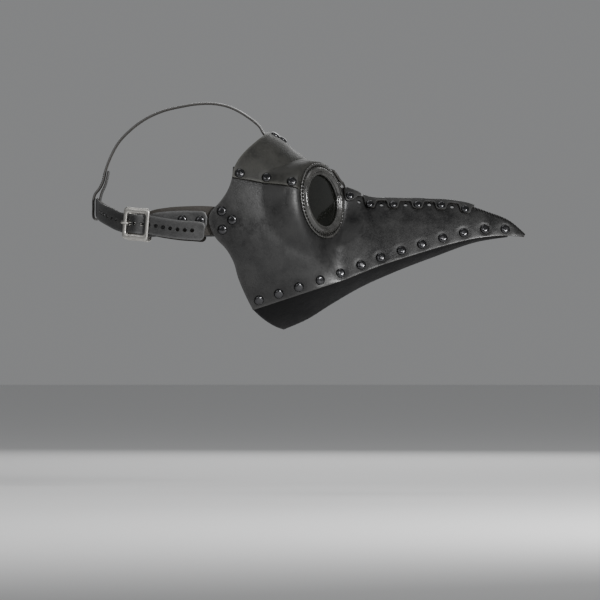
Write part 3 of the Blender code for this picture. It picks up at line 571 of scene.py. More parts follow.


# ------------------------------------------------------------------ brow panel
# One panel over the forehead from side to side, riveted over the side panels along its lower edge. It is
# painted lighter and a little browner than the sides, as painted light on its upward face, and is stretched
# up round both eyes.

# These colours are lighter and warmer than the side panels' as painted top light, since the brow faces up.
BROW_LEATHER_WITH_PAINTED_LIGHT = leather("brow leather", (0.0110, 0.0109, 0.0096), (0.0300, 0.0296, 0.0262), 0.56, 1.0, 0.3)
BROW_REAR = ((46.8, 8.3), (51.6, 9), (63.6, 14.3), (74.1, 23.2), (83.1, 33.7), (89.9, 42), (92.8, 44))
BROW_RIVETS = ((16.8, 50.4), (44.2, 46.3), (70.8, 41.9))
BROW_CAP_STANDING = 4.2
BROW_LOW_START, BROW_LOW_END = 8.3, 118
BROW_TOP_START, BROW_TOP_END = 44, 121
BROW_DIMPLE_DEPTH = 0.5
LAYER_GAP = 0.15
brow_rear = through(BROW_REAR)

brow_r = np.linspace(0, 1, 84)[:, None]
brow_t = np.linspace(0, 1, 46)
brow_low_x = BROW_LOW_START + brow_r * (BROW_LOW_END - BROW_LOW_START)
brow_top_x = BROW_TOP_START + brow_r * (BROW_TOP_END - BROW_TOP_START)
brow_rise = np.sin(brow_t * math.pi / 2)
brow_rear_z = BROW_REAR[0][0] + (BROW_REAR[-1][0] - BROW_REAR[0][0]) * brow_rise
rear_share = (brow_rear(brow_rear_z) - BROW_LOW_START) / (BROW_TOP_START - BROW_LOW_START)
brow_share = (1 - brow_r) * rear_share + brow_r * brow_t
brow_x = brow_low_x + (brow_top_x - brow_low_x) * brow_share
brow_z = brow_seam(brow_low_x) + (crest(brow_top_x) - brow_seam(brow_low_x)) * brow_rise
brow_left = side_surface(brow_x, brow_z)
brow_left[:, -1, 1] = 0.0
brow_base = np.concatenate([brow_left, brow_left[:, -2::-1] * MIRROR], axis=1)
brow_eye, _ = eye_distance(np.stack([brow_base[..., 0], np.abs(brow_base[..., 1]), brow_base[..., 2]], -1))
brow_cover = (LEATHER_THICKNESS + LAYER_GAP) * smooth_step((brow_eye - EYE_SEAT_RADIUS) / 6)
brow_outer = brow_base + brow_cover[..., None] * grid_normals(brow_base)
brow_places = [
    (place + (LEATHER_THICKNESS + LAYER_GAP) * normal, normal)
    for place, normal in on_side(BROW_RIVETS, BROW_CAP_STANDING)
]
both_brow_rivets = [p * np.array([1, s, 1]) for p, _ in brow_places for s in (1, -1)]
brow_normals = grid_normals(brow_outer)
brow_dimples = pressed(brow_outer, both_brow_rivets, BROW_DIMPLE_DEPTH, DIMPLE_REACH)
brow_outer = brow_outer - brow_dimples[..., None] * brow_normals
brow_inner = brow_outer - LEATHER_THICKNESS * brow_normals

brow = leather_piece("brow_skin", brow_outer, brow_inner, BROW_LEATHER_WITH_PAINTED_LIGHT)
for side in (1, -1):
    punch(brow, eye_cutter(side))
round_edges(brow, 0.55)
fit(brow, "mask", "brow_panel", "brow_leather")


# ------------------------------------------------------------------ lower beak
# Two softer, matt pieces that close the beak underneath, painted near black as painted shade on the
# underside. Each has a flange riveted inside the side panel, and the two are whip stitched together along the
# keel.

# These colours are darker than the side panels' as painted shade, because the underside lies in shadow.
LOWER_LEATHER_WITH_PAINTED_SHADE = leather(
    "lower beak leather", (0.0022, 0.0022, 0.0025), (0.0055, 0.0055, 0.0060), 0.66, 1.3, 0.12
)
KEEL = (
    (62, -113), (87, -102), (111, -87), (143, -68.5), (175, -54), (219, -37), (263, -21.5), (304, -14.8),
)
LINING_THICKNESS = 1.8
FLANGE_GAP = 0.3
FLANGE_START, FLANGE_END = 30, 296
KEEL_START, KEEL_END = 62, 297
keel = through(KEEL)

flange_x = np.linspace(FLANGE_START, FLANGE_END, 120)
keel_x = KEEL_START + (flange_x - FLANGE_START) * (KEEL_END - KEEL_START) / (FLANGE_END - FLANGE_START)
flange_height = np.minimum(13.0, 0.62 * (crest(flange_x) - jaw(flange_x)))
flange_z = jaw(flange_x)[:, None] + flange_height[:, None] * np.linspace(1, 0, 8)
flange_grid_x = np.repeat(flange_x[:, None], 8, axis=1)
flange_depth = LEATHER_THICKNESS + FLANGE_GAP
flange = side_surface(flange_grid_x, flange_z) - flange_depth * side_normal(flange_grid_x, flange_z)
fold = flange[:, -1]
keel_line = np.column_stack([keel_x, np.full(len(keel_x), MIDLINE), keel(keel_x)])
belly = np.column_stack([
    (fold[:, 0] + keel_line[:, 0]) / 2,
    0.62 * fold[:, 1],
    fold[:, 2] + 0.8 * (keel_line[:, 2] - fold[:, 2]),
])
under_t = np.linspace(0, 1, 26)[1:, None]
under = np.array([
    (1 - under_t) ** 2 * a + 2 * under_t * (1 - under_t) * b + under_t**2 * c
    for a, b, c in zip(fold, belly, keel_line)
])
lower_outer = np.concatenate([flange, under], axis=1)[:, ::-1]
lower_inner = lower_outer - LINING_THICKNESS * grid_normals(lower_outer)
lower_inner[..., 1] = np.maximum(lower_inner[..., 1], MIDLINE)
lower = leather_piece("lower_beak_skin", lower_outer, lower_inner, LOWER_LEATHER_WITH_PAINTED_SHADE)
round_edges(lower, 0.4)
fit_pair(lower, "lower_beak_skin", "lower_beak", "lower_leather")


# ------------------------------------------------------------------ ridge strip and nose bridge
# A scalloped strip saddles the beak's ridge, with a rivet in each lobe, and a small tongue covers the join
# of brow and beak between the eyes. Both are thick leather with polished edges.

RIDGE_LEATHER = leather("ridge leather", (0.0100, 0.0100, 0.0100), (0.0240, 0.0240, 0.0235), 0.40)
RIDGE_LOBES = (152.3, 176.7, 202.3, 227.0, 252.3)
RIDGE_STRIP_ENDS = (144.6, 261.4)
RIDGE_THICKNESS = 2.4
LOBE_HALF_WIDTH = 6.4
STRIP_DROP = 2.0
LOBE_DROP = 7.5
SADDLE_ROWS = 15


def saddle(name, x, reach, lift, thickness, covers):
    """A strip over the crest. reach gives how far down each side it comes, lift how high it lies."""
    drop = reach[:, None] * np.linspace(1, 0, SADDLE_ROWS)
    z = crest(x)[:, None] - drop
    wide_x = np.repeat(x[:, None], SADDLE_ROWS, axis=1)
    left = side_surface(wide_x, z)
    left[:, -1, 1] = 0.0
    base = np.concatenate([left, left[:, -2::-1] * MIRROR], axis=1)
    soft = base.copy()
    for _ in range(3):
        soft[:, 1:-1] = (soft[:, :-2] + 2 * soft[:, 1:-1] + soft[:, 2:]) / 4
    facing = grid_normals(soft)
    lift = np.broadcast_to(lift, x.shape)[:, None, None]
    inner = base + lift * facing
    outer = base + (lift + thickness) * facing
    piece = leather_piece(name, outer, inner, RIDGE_LEATHER)
    round_edges(piece, 0.7, 3)
    fit(piece, "mask", covers, "ridge_leather")


strip_x = np.linspace(*RIDGE_STRIP_ENDS, 220)
to_lobe = np.min(np.abs(strip_x[:, None] - np.array(RIDGE_LOBES)), axis=1)
bulb = np.sqrt(np.clip(1 - (to_lobe / LOBE_HALF_WIDTH) ** 2, 0, 1))
root = smooth_step((LOBE_HALF_WIDTH + 2.2 - to_lobe) / 4.0)
strip_reach = STRIP_DROP + LOBE_DROP * (0.55 * root + 0.45 * bulb) * root
saddle("ridge_strip_skin", strip_x, strip_reach, 0.35, RIDGE_THICKNESS, "ridge_strip")


def drop_at(x, y):
    """How far below the crest the mask is this wide, found by halving."""
    low, high = np.zeros_like(x), np.full_like(x, 30.0)
    for _ in range(24):
        middle = (low + high) / 2
        narrow = half_width(x, crest(x) - middle) < y
        low, high = np.where(narrow, middle, low), np.where(narrow, high, middle)
    return low


BRIDGE_THICKNESS = 2.2
bridge_x = np.linspace(100.5, 142.5, 90)
bridge_half = through((
    (100, 4), (102, 7), (109, 8.5), (117, 6.2), (122, 5.4), (126, 6.4), (131, 7.4), (135, 6.2), (139, 2.8),
    (143, 1.6),
))
bridge_lift = 0.5 + (LEATHER_THICKNESS + 0.2) * (1 - smooth_step((bridge_x - 120.5) / 5))
bridge_drop = drop_at(bridge_x, bridge_half(bridge_x))
saddle("nose_bridge_skin", bridge_x, bridge_drop, bridge_lift, BRIDGE_THICKNESS, "nose_bridge")


# ------------------------------------------------------------------ eyes
# A moulded leather ring is stitched round each opening, with a polished roll and a stepped inner wall. The
# dark glass lies under it in the hole, and a second ring holds it from inside.

RIM_LEATHER = leather("eye rim leather", (0.0150, 0.0147, 0.0136), (0.0480, 0.0470, 0.0440), 0.24, 1.0, 0.8)
LENS_GLASS = Finish("dark glass", IOR=1.5, Transmission_Weight=0.12)
glass_place = LENS_GLASS.place()
haze = LENS_GLASS.noise(glass_place, 60.0)
LENS_GLASS.show("Base Color", LENS_GLASS.blend(haze, (0.004, 0.0042, 0.0036), (0.011, 0.0115, 0.0095)))
LENS_GLASS.show("Roughness", 0.04 + haze * 0.06)
LENS_GLASS.relief(LENS_GLASS.noise(glass_place, 30.0), 0.00008, 0.3)

RIM_PROFILE = (
    (39.4, 0.35), (39.8, 0.8), (39.7, 1.5), (39.2, 2.0), (38.5, 2.1), (37.8, 1.8), (37.2, 1.3), (36.5, 1.15),
    (35.8, 1.35), (35.3, 2.1), (34.8, 3.3), (34.0, 4.4), (32.9, 5.0), (31.7, 5.0), (30.7, 4.4), (30.1, 3.5),
    (29.5, 2.9), (28.8, 2.7), (28.0, 2.7), (27.3, 2.4), (27.0, 1.9), (27.0, 0.9), (27.2, 0.4),
)
LENS_PROFILE = (
    (0, 1.3), (8, 1.2), (16, 0.9), (24, 0.35), (29.2, -0.25), (30, -0.6), (30, -1.9), (29.3, -2.4),
    (24, -2.0), (16, -1.5), (8, -1.2), (0, -1.1),
)
RETAINER_PROFILE = (
    (34, -3.0), (33.6, -2.75), (27.2, -2.75), (26.6, -3.1), (26.5, -5.0), (27.0, -5.4), (33.4, -5.4),
    (34, -5.0),
)


def loop_faces(first, second):
    """Faces between two closed loops of point numbers."""
    return list(zip(first, second, second[1:] + second[:1], first[1:] + first[:1]))


def turned(name, profile, side, steps, material, ring, ripple=0.0, count=0):
    """A shape turned round the eye's axis. ripple dents the ring's outer flange between its stitches."""
    first, second = frame_round(EYE_NORMAL)
    points, loops = [], []
    for radius, height in profile:
        if radius == 0:
            loops.append([len(points)] * steps)
            points.append(EYE_CENTRE + height * EYE_NORMAL)
            continue
        loops.append([len(points) + k for k in range(steps)])
        for k in range(steps):
            turn = 2 * math.pi * k / steps
            swell = ripple * math.cos(count * turn) * smooth_step((radius - 35.0) / 1.0)
            spoke = math.cos(turn) * first + math.sin(turn) * second
            points.append(EYE_CENTRE + (height + swell) * EYE_NORMAL + radius * spoke)
    pairs = list(zip(loops, loops[1:]))
    if ring:
        pairs.append((loops[-1], loops[0]))
    faces = [tuple(dict.fromkeys(corners)) for pair in pairs for corners in loop_faces(*pair)]
    return mesh_piece(name, points, faces, material, side)


STITCHES_ROUND_EYE = 60
EYE_STITCH_RADIUS = 36.6
EYE_STITCH_HEIGHT = 1.6
for node, profile, material, ring, slot_name in (
    ("eye_rim", RIM_PROFILE, RIM_LEATHER, True, "rim_leather"),
    ("lens", LENS_PROFILE, LENS_GLASS.material, False, "lens_glass"),
    ("lens_retainer", RETAINER_PROFILE, RIM_LEATHER, True, "rim_leather"),
):
    ripple = 0.3 if node == "eye_rim" else 0.0
    piece = turned(node, profile, 1, 240, material, ring, ripple, STITCHES_ROUND_EYE)
    piece.data.set_sharp_from_angle(angle=math.radians(60))
    fit_pair(piece, f"{node}_fine", node, slot_name)


# ------------------------------------------------------------------ straps
# The crown strap runs from under the brow over the head, round the rear strap and back on itself, sewn. The
# rear strap goes round the back of the head, punched at both ends, and its ends pass through the buckles.

STRAP_LEATHER = leather("strap leather", (0.0180, 0.0180, 0.0182), (0.0400, 0.0400, 0.0400), 0.45, 0.8)
STRAP_WIDTH = 19.6
STRAP_THICKNESS = 2.4
STRAP_THINNING = 0.35
CROWN_WIDTH = 25.0
BUCKLE_PIVOT = np.array([-89.6, 77.6, -2.8])
BUCKLE_YAW = math.radians(18)
BUCKLE_TILT = math.radians(5)
BACK = np.array([
    -math.cos(BUCKLE_YAW) * math.cos(BUCKLE_TILT),
    -math.sin(BUCKLE_YAW) * math.cos(BUCKLE_TILT),
    math.sin(BUCKLE_TILT),
])
OUT = np.array([-math.sin(BUCKLE_YAW), math.cos(BUCKLE_YAW), 0.0])
ACROSS = np.cross(OUT, BACK)
HOLE_PITCH = 7.6
HOLE_COUNT = 17
HOLE_RADIUS = 2.1
FIRST_HOLE = 12.75
PRONG_HOLE = 9


def buckle_place(s, n, w=0.0):
    """A place given in the buckle's own directions: back along the strap, outward, and across."""
    return BUCKLE_PIVOT + s * BACK + n * OUT + w * ACROSS


def distances(middle):
    """How far along a line each of its points is."""
    return np.concatenate([[0], np.cumsum(np.linalg.norm(np.diff(middle, axis=0), axis=1))])


def smooth_path(points, spacing):
    """Points a given distance apart on a smooth curve through the given ones."""
    points = np.array(points, float)
    along = distances(points)
    curves = [through(np.column_stack([along, points[:, k]])) for k in range(3)]
    stops = []
    for start, end in zip(along, along[1:]):
        stops.extend(np.linspace(start, end, max(1, round((end - start) / spacing)), endpoint=False))
    stops.append(along[-1])
    return np.column_stack([curve(np.array(stops)) for curve in curves])


def strap_lean(middle):
    """The direction of a rear strap's width: upright at the ear and back, square to the buckle between."""
    lean = smooth_step((-60 - middle[:, :1]) / 18) * smooth_step((124 + middle[:, :1]) / 14)
    mirror = np.where(middle[:, 1:2] < 0, -1.0, 1.0) * np.array([0, 1, 0]) + np.array([1, 0, 1])
    return unit(UP + lean * (ACROSS * mirror - UP))


STRAP_COLUMNS = np.array([-1, -0.97, -0.9, -0.75, -0.5, -0.25, 0, 0.25, 0.5, 0.75, 0.9, 0.97, 1.0])


def band(name, middle, half_widths, across, drops=0.0, grain=1):
    """A leather strap along its middle line, thinner at its edges.

    across is one direction, or one for each point. drops curls the edges down, and grain, 1 or -1, says
    which face is the grain side.
    """
    middle, half_widths = middle[::-1], half_widths[::-1]
    across = np.broadcast_to(across, middle.shape)[::-1]
    drops = np.broadcast_to(drops, len(middle))[::-1]
    tangents = unit(np.gradient(middle, axis=0))
    widths = unit(across - (tangents * across).sum(axis=-1, keepdims=True) * tangents)
    outward = np.cross(tangents, widths)
    reach = half_widths[:, None] * STRAP_COLUMNS
    fall = drops[:, None] * reach**2
    mid = middle[:, None] + widths[:, None] * reach[..., None] - outward[:, None] * fall[..., None]
    half = STRAP_THICKNESS / 2 - STRAP_THINNING * STRAP_COLUMNS**6 * np.ones((len(middle), 1))
    lift = outward[:, None] * half[..., None]
    return leather_piece(name, mid + grain * lift, mid - grain * lift, STRAP_LEATHER)


def rounded_tip(distance, half, corner):
    """Half width of a strap near its tip, whose corners are rounded."""
    inside = np.clip(corner - distance, 0, corner)
    return half - corner + np.sqrt(corner**2 - inside**2)


REAR_ROUTE = [
    (-20.2, 87, -11), (-33, 87.8, -9.8), (-45, 87.9, -9), (-56, 87.2, -7.6), (-66, 86, -6),
    buckle_place(-15, 2.1), buckle_place(-10, 2.4), buckle_place(-5, 4.5), buckle_place(0, 6.1),
    buckle_place(5, 4.3), buckle_place(10, 2.1), buckle_place(15, 1.7),
    (-118.5, 63, 4.5), (-128, 44, 9.5), (-133, 22, 14), (-134.5, 0, 15.5),
]
rear_left = smooth_path(REAR_ROUTE, 1.8)
tip_steps = [rear_left[0] + (rear_left[1] - rear_left[0]) * share for share in (0.05, 0.2, 0.5)]
rear_left = np.concatenate([rear_left[:1], tip_steps, rear_left[1:]])
rear_middle = np.concatenate([rear_left, rear_left[-2::-1] * MIRROR])
rear_along = distances(rear_middle)
rear_half = rounded_tip(np.minimum(rear_along, rear_along[-1] - rear_along), STRAP_WIDTH / 2, 5.0)
rear_strap = band("rear_strap_skin", rear_middle, rear_half, strap_lean(rear_middle), grain=-1)


def along_rear(distance):
    return np.array([np.interp(distance, rear_along, rear_middle[:, axis]) for axis in range(3)])


strap_holes = []
for k in range(HOLE_COUNT):
    if k != PRONG_HOLE:
        place = along_rear(FIRST_HOLE + k * HOLE_PITCH)
        ahead = along_rear(FIRST_HOLE + 1 + k * HOLE_PITCH)
        strap_holes.append((place, unit(np.cross(ahead - place, UP))))
# The hole that the prong uses has been pulled long, so it is cut three times in a row.
WORN_HOLE = (7.2, 8.8, 10.4)
WORN_HOLE_RADIUS = 2.5
for side in (1, -1):
    punch(rear_strap, rods("holes", strap_holes, HOLE_RADIUS, (-3, 3), side))
    for s in WORN_HOLE:
        punch(rear_strap, rods("worn hole", [(buckle_place(s, 0), OUT)], WORN_HOLE_RADIUS, (-3, 9), side))
round_edges(rear_strap, 0.45)
fit(rear_strap, "mask", "rear_strap", "strap_leather")

CROWN_ROUTE = [
    (43, 91.0), (40.2, 94.6), (37.5, 99.6), (31.5, 105.4), (24, 110.9), (14, 116.9),
    (5.3, 120.8), (-12.3, 124.3),
    (-29.7, 123.8), (-47.3, 120.8), (-64.8, 116.4), (-82.2, 108.6), (-99.8, 95.7), (-111.2, 83.6),
    (-119.8, 68.2), (-125, 54.4), (-128.3, 41), (-131.9, 34.4), (-136.2, 29), (-137.8, 23), (-137.9, 15),
    (-137.9, 6),
]
LOOP_RADIUS = 3.5
tucked_end = [(x, float(crest(x)) - 1.5) for x in (66, 60, 54, 48)]
strap_loop = [
    (-137.9 + LOOP_RADIUS + LOOP_RADIUS * math.cos(turn), 6 + LOOP_RADIUS * math.sin(turn))
    for turn in np.linspace(math.pi, 2 * math.pi, 9)
][1:]
loop_return = [(-130.8, 15), (-130.6, 24), (-129, 30.5), (-125.4, 38.5), (-121.8, 53.4)]
crown_middle = smooth_path(
    [(x, 0, z) for x, z in tucked_end + CROWN_ROUTE + strap_loop + loop_return], 2.0
)
crown_along = distances(crown_middle)
crown_half = rounded_tip(np.minimum(crown_along, crown_along[-1] - crown_along) + 0.3, CROWN_WIDTH / 2, 3.0)
crown_curl = through(((-140, 0.0), (-60, 0.0), (0, 0.003), (40, 0.0056), (66, 0.0056)))
crown_strap = band(
    "crown_strap_skin", crown_middle, crown_half, np.array([0.0, 1.0, 0.0]), crown_curl(crown_middle[:, 0])
)
round_edges(crown_strap, 0.45)
fit(crown_strap, "mask", "crown_strap", "strap_leather")


# ------------------------------------------------------------------ buckle tabs
# A short double tab of strap leather at each side: riveted under the ear, folded round the buckle's bar and
# riveted back on itself, with a slot in the fold for the prong.

TAB_ROUTE = ((12, 77.2), (-16, 77.2), (-35, 78.7), (-55, 79.6), (-68, 79.5))
TAB_RIVETS = ((-43.0, 1.2), (-24.8, 0.4))
FOLD_RADIUS = 3.0
TAB_RISE = 2.8
tab_height = through(((-78, -2.4), (-65, -0.4), (-42, 1.0), (-16, 0.4), (12, 0.5)))
tab_plan = through([(x, y) for x, y in reversed(TAB_ROUTE)])
inner_leg = [(x, y, float(tab_height(x))) for x, y in TAB_ROUTE] + [buckle_place(-10, -3.9)]
fold_round = [
    buckle_place(FOLD_RADIUS * math.sin(turn), -FOLD_RADIUS * math.cos(turn))
    for turn in np.linspace(0, math.pi, 15)
]
outer_leg = [buckle_place(-5, 1.0), buckle_place(-10, TAB_RISE - 3.9)]
outer_leg += [(x, y + TAB_RISE, float(tab_height(x))) for x, y in TAB_ROUTE[:1:-1]]
outer_leg.append((-17.5, 77.4 + TAB_RISE, 0.4))
inner_leg, outer_leg = smooth_path(inner_leg, 2.2), smooth_path(outer_leg, 2.2)
tab_middle = np.concatenate([inner_leg, fold_round, outer_leg])
tab_spread = through((
    (-93, 9.8), (-84, 9.8), (-77, 12), (-60, 13.6), (-40, 14.4), (-14, 15), (0, 13.5), (12, 11),
))
tab_along = distances(tab_middle)
tab_half = np.where(
    np.arange(len(tab_middle)) < len(inner_leg), tab_spread(tab_middle[:, 0]),
    rounded_tip(tab_along[-1] - tab_along, STRAP_WIDTH / 2, 6.0),
)
slot_corners = [(s, n, w) for s in (-7.5, 6.0) for n in (-6.0, 6.0) for w in (-2.2, 2.2)]
slot_faces = [(0, 1, 3, 2), (4, 6, 7, 5), (0, 4, 5, 1), (2, 3, 7, 6), (0, 2, 6, 4), (1, 5, 7, 3)]
tab = band("buckle_tab_skin", tab_middle, tab_half, strap_lean(tab_middle))
punch(tab, mesh_piece("slot", [buckle_place(*corner) for corner in slot_corners], slot_faces, None))
round_edges(tab, 0.45)
fit_pair(tab, "buckle_tab_skin", "buckle_tab", "strap_leather")


# ------------------------------------------------------------------ buckles
# A cast and plated frame with a bar below it, and a wire prong whose eye turns on the bar. The prong comes
# up through a hole of the rear strap and lies across the frame's rear bar.

NICKEL = metal("nickel plate", (0.50, 0.488, 0.460), 0.30, 0.16, 0.6)
FRAME_LENGTH, FRAME_WIDTH = 28.4, 33.6
WINDOW_LENGTH, WINDOW_WIDTH = 20.0, 21.8
FRAME_CORNER, WINDOW_CORNER = 4.2, 2.4
BAR_RADIUS, BAR_SIDES = 1.5, 16
PRONG_EYE_RADIUS, PRONG_SIDES = 2.75, 14
PRONG_EYE_WIRE, PRONG_ARM_WIRE = 0.75, 1.15


def oblong(length, width, corner, inset, steps=8):
    """A rounded rectangle as (s, w) points, pinched in along its long limbs."""
    outline = []
    for k, (s, w) in enumerate(((1, 1), (-1, 1), (-1, -1), (1, -1))):
        for turn in np.linspace(0, math.pi / 2, steps) + k * math.pi / 2:
            outline.append((
                s * (length / 2 - inset - corner) + corner * math.cos(turn),
                w * (width / 2 - inset - corner) + corner * math.sin(turn),
            ))
        if k % 2 == 0:
            for share in (0.2, 0.35, 0.5, 0.65, 0.8):
                along = s * (length / 2 - inset - corner) * (1 - 2 * share)
                outline.append((along, w * (width / 2 - inset - 0.5 * math.sin(math.pi * share) ** 2)))
        else:
            for share in (0.25, 0.5, 0.75):
                outline.append((s * (length / 2 - inset), w * (width / 2 - inset - corner) * (1 - 2 * share)))
    return outline


def tube_rings(middle, radius, sides, toward):
    tangents = unit(np.gradient(middle, axis=0))
    firsts = unit(toward - (tangents @ toward)[:, None] * tangents)
    seconds = np.cross(tangents, firsts)
    turns = 2 * math.pi * np.arange(sides) / sides
    radius = np.broadcast_to(radius, len(middle))[:, None, None]
    return middle[:, None] + radius * (
        np.cos(turns)[None, :, None] * firsts[:, None] + np.sin(turns)[None, :, None] * seconds[:, None]
    )


def tube_faces(count, sides, base=0):
    """Faces of a tube with closed ends, whose rings of points start at a number."""
    loops = [list(range(base + i * sides, base + (i + 1) * sides)) for i in range(count)]
    faces = [tuple(loops[0]), tuple(reversed(loops[-1]))]
    for pair in zip(loops, loops[1:]):
        faces += loop_faces(*pair)
    return faces


FRAME_SECTION = (
    (0.0, 4.8, 0), (0.0, 5.6, 0), (0.3, 6.3, 0), (0.9, 6.85, 0), (1.6, 7.1, 0), (1.6, 7.1, 1), (0.9, 6.85, 1),
    (0.3, 6.3, 1), (0.0, 5.6, 1), (0.0, 4.8, 1), (0.5, 4.15, 1), (1.2, 4.0, 1), (1.2, 4.0, 0), (0.5, 4.15, 0),
)
rings = []
for inset, level, inside in FRAME_SECTION:
    if inside:
        outline = oblong(WINDOW_LENGTH, WINDOW_WIDTH, WINDOW_CORNER + inset, -inset)
    else:
        outline = oblong(FRAME_LENGTH, FRAME_WIDTH, FRAME_CORNER - inset, inset)
    rings.append([buckle_place(s, level, w) for s, w in outline])
frame_points = [point for ring in rings for point in ring]
loop_size = len(rings[0])
frame_faces = []
for i in range(len(rings)):
    here, there = i * loop_size, ((i + 1) % len(rings)) * loop_size
    for k in range(loop_size):
        after = (k + 1) % loop_size
        frame_faces.append((here + k, here + after, there + after, there + k))
cradle = [
    (-13.3, 5.2), (-13.3, 2.4), (-13.1, 1.0), (-12.4, 0.25), (-11.2, 0.0), (0, 0.0),
    (11.2, 0.0), (12.4, 0.25), (13.1, 1.0), (13.3, 2.4), (13.3, 5.2),
]
cradle_path = smooth_path([buckle_place(0, n, w) for w, n in cradle], 1.2)
cradle_rings = tube_rings(cradle_path, BAR_RADIUS, BAR_SIDES, BACK)

prong_eye = np.array([
    buckle_place(PRONG_EYE_RADIUS * math.cos(turn), PRONG_EYE_RADIUS * math.sin(turn))
    for turn in np.linspace(math.radians(-352), math.radians(-28), 34)
])
PRONG_ARM = (
    (2.6, -1.3), (3.9, -0.6), (5.4, 0.6), (7.3, 3.6), (8.7, 7.0), (10.3, 8.5), (13, 8.6), (15.8, 8.2),
)
prong_arm = smooth_path([buckle_place(s, n) for s, n in PRONG_ARM], 0.8)
prong_middle = np.concatenate([prong_eye[:-1], prong_arm])
prong_along = distances(prong_middle)
in_eye = np.arange(len(prong_middle)) < len(prong_eye)
prong_radius = np.where(in_eye, PRONG_EYE_WIRE, PRONG_ARM_WIRE)
prong_radius = np.minimum(prong_radius, 0.7 + 0.1 * prong_along)
for _ in range(4):
    prong_radius[1:-1] = (prong_radius[:-2] + prong_radius[1:-1] + prong_radius[2:]) / 3
from_end = prong_along[-1] - prong_along
prong_radius = prong_radius * np.sqrt(np.clip(1 - (1 - np.clip(from_end / 1.1, 0, 1)) ** 2, 0.05, 1))
prong_points = tube_rings(prong_middle, prong_radius, PRONG_SIDES, ACROSS).reshape(-1, 3)

buckle = mesh_piece(
    "buckle_frame", np.concatenate([np.array(frame_points), cradle_rings.reshape(-1, 3)]),
    frame_faces + tube_faces(len(cradle_path), BAR_SIDES, len(frame_points)), NICKEL,
)
prong = mesh_piece("buckle_prong", prong_points, tube_faces(len(prong_middle), PRONG_SIDES), NICKEL)
for piece in (buckle, prong):
    piece.data.set_sharp_from_angle(angle=math.radians(60))
fit_pair(buckle, "buckle_frame_fine", "buckle_frame", "nickel", "buckle")
fit_pair(prong, "buckle_prong_fine", "buckle_prong", "nickel", "prong")


# ------------------------------------------------------------------ rivets
# Double-cap rivets with black nickel domes hold every layer. Each has a domed cap with a flat skirt outside
# and a low cap inside. The post between them is hidden in the leather, and is not drawn.

RIVET_METAL = metal("black nickel", (0.075, 0.075, 0.078), 0.14, 0.08, 0.6)


class Growth(Graph):
    """A tree of geometry nodes on points, with named lengths in millimetres and one material."""

    def __init__(self, name, numbers, material_name):
        super().__init__(bpy.data.node_groups.new(name, "GeometryNodeTree"))
        face = self.tree.interface
        face.new_socket("Geometry", in_out="INPUT", socket_type="NodeSocketGeometry")
        for number, value in numbers.items():
            socket = face.new_socket(number, in_out="INPUT", socket_type="NodeSocketFloat")
            socket.default_value = value * MM
        face.new_socket(material_name, in_out="INPUT", socket_type="NodeSocketMaterial")
        face.new_socket("Geometry", in_out="OUTPUT", socket_type="NodeSocketGeometry")
        start = self.tree.nodes.new("NodeGroupInput")
        self.given = {socket.name: Wire(self, socket) for socket in start.outputs if socket.name}
        self.points = self.given["Geometry"]
        self.material = self.given[material_name]

    def stored(self, name, kind):
        return self.node("GeometryNodeInputNamedAttribute", {"data_type": kind}, {"Name": name})

    def xyz(self, x=0.0, y=0.0, z=0.0):
        return self.node("ShaderNodeCombineXYZ", None, {"X": x, "Y": y, "Z": z})

    def vector(self, operation, sockets, output=0):
        return self.node("ShaderNodeVectorMath", {"operation": operation}, sockets, output)

    def copies(self, points, shape, along, size):
        """The shape at every point, with its z axis turned along a direction."""
        turn = self.node("FunctionNodeAlignEulerToVector", {"axis": "Z"}, {"Vector": along})
        sockets = {"Points": points, "Instance": shape, "Rotation": turn, "Scale": size}
        return self.node("GeometryNodeInstanceOnPoints", None, sockets)

    def finished(self, copies):
        """The whole tree, which gives out the copies as one smooth mesh of the material."""
        real = self.node("GeometryNodeRealizeInstances", None, {0: copies})
        smooth = self.node("GeometryNodeSetShadeSmooth", None, {0: real})
        done = self.node("GeometryNodeSetMaterial", None, {"Geometry": smooth, "Material": self.material})
        self.node("NodeGroupOutput", None, {0: done})
        return self.tree


def rivet_tree():
    """Points with a facing, a depth and a size become rivets: a domed cap on a flat skirt, and a back cap."""
    graph = Growth(
        "rivets",
        {"Cap radius": 5.0, "Cap height": 1.9, "Skirt": 0.7, "Back radius": 4.0, "Back height": 0.9},
        "Metal",
    )
    given = graph.given
    facing = graph.stored("facing", "FLOAT_VECTOR")
    size = graph.stored("size", "FLOAT")
    scale = graph.xyz(size, size, size)
    blank = graph.node(
        "GeometryNodeMeshCylinder", None, {"Vertices": 32, "Fill Segments": 9, "Radius": 1.0, "Depth": 2.0}
    )
    spot = graph.node("GeometryNodeInputPosition")
    away = graph.vector("LENGTH", {0: graph.vector("MULTIPLY", {0: spot, 1: (1.0, 1.0, 0.0)})}, 1)
    level = graph.node("ShaderNodeSeparateXYZ", None, {0: spot}, 2)
    dome = given["Cap height"] * (1 - away ** 4.5) * (level > 0)
    spread = graph.xyz(given["Cap radius"], given["Cap radius"], given["Skirt"])
    domed = graph.vector("MULTIPLY_ADD", {0: spot, 1: spread, 2: graph.xyz(z=dome)})
    cap = graph.node("GeometryNodeSetPosition", None, {"Geometry": blank, "Position": domed})
    caps = graph.copies(graph.points, cap, facing, scale)
    inward = graph.vector("SCALE", {0: facing, "Scale": graph.stored("depth", "FLOAT")})
    shifted = graph.node("GeometryNodeSetPosition", None, {"Geometry": graph.points, "Offset": inward})
    ball = graph.node("GeometryNodeMeshUVSphere", None, {"Segments": 24, "Rings": 8, "Radius": 1.0})
    low = graph.xyz(given["Back radius"], given["Back radius"], given["Back height"])
    back = graph.node("GeometryNodeTransform", None, {"Geometry": ball, "Scale": low})
    backs = graph.copies(shifted, back, facing, scale)
    return graph.finished(graph.node("GeometryNodeJoinGeometry", None, {0: [caps, backs]}))


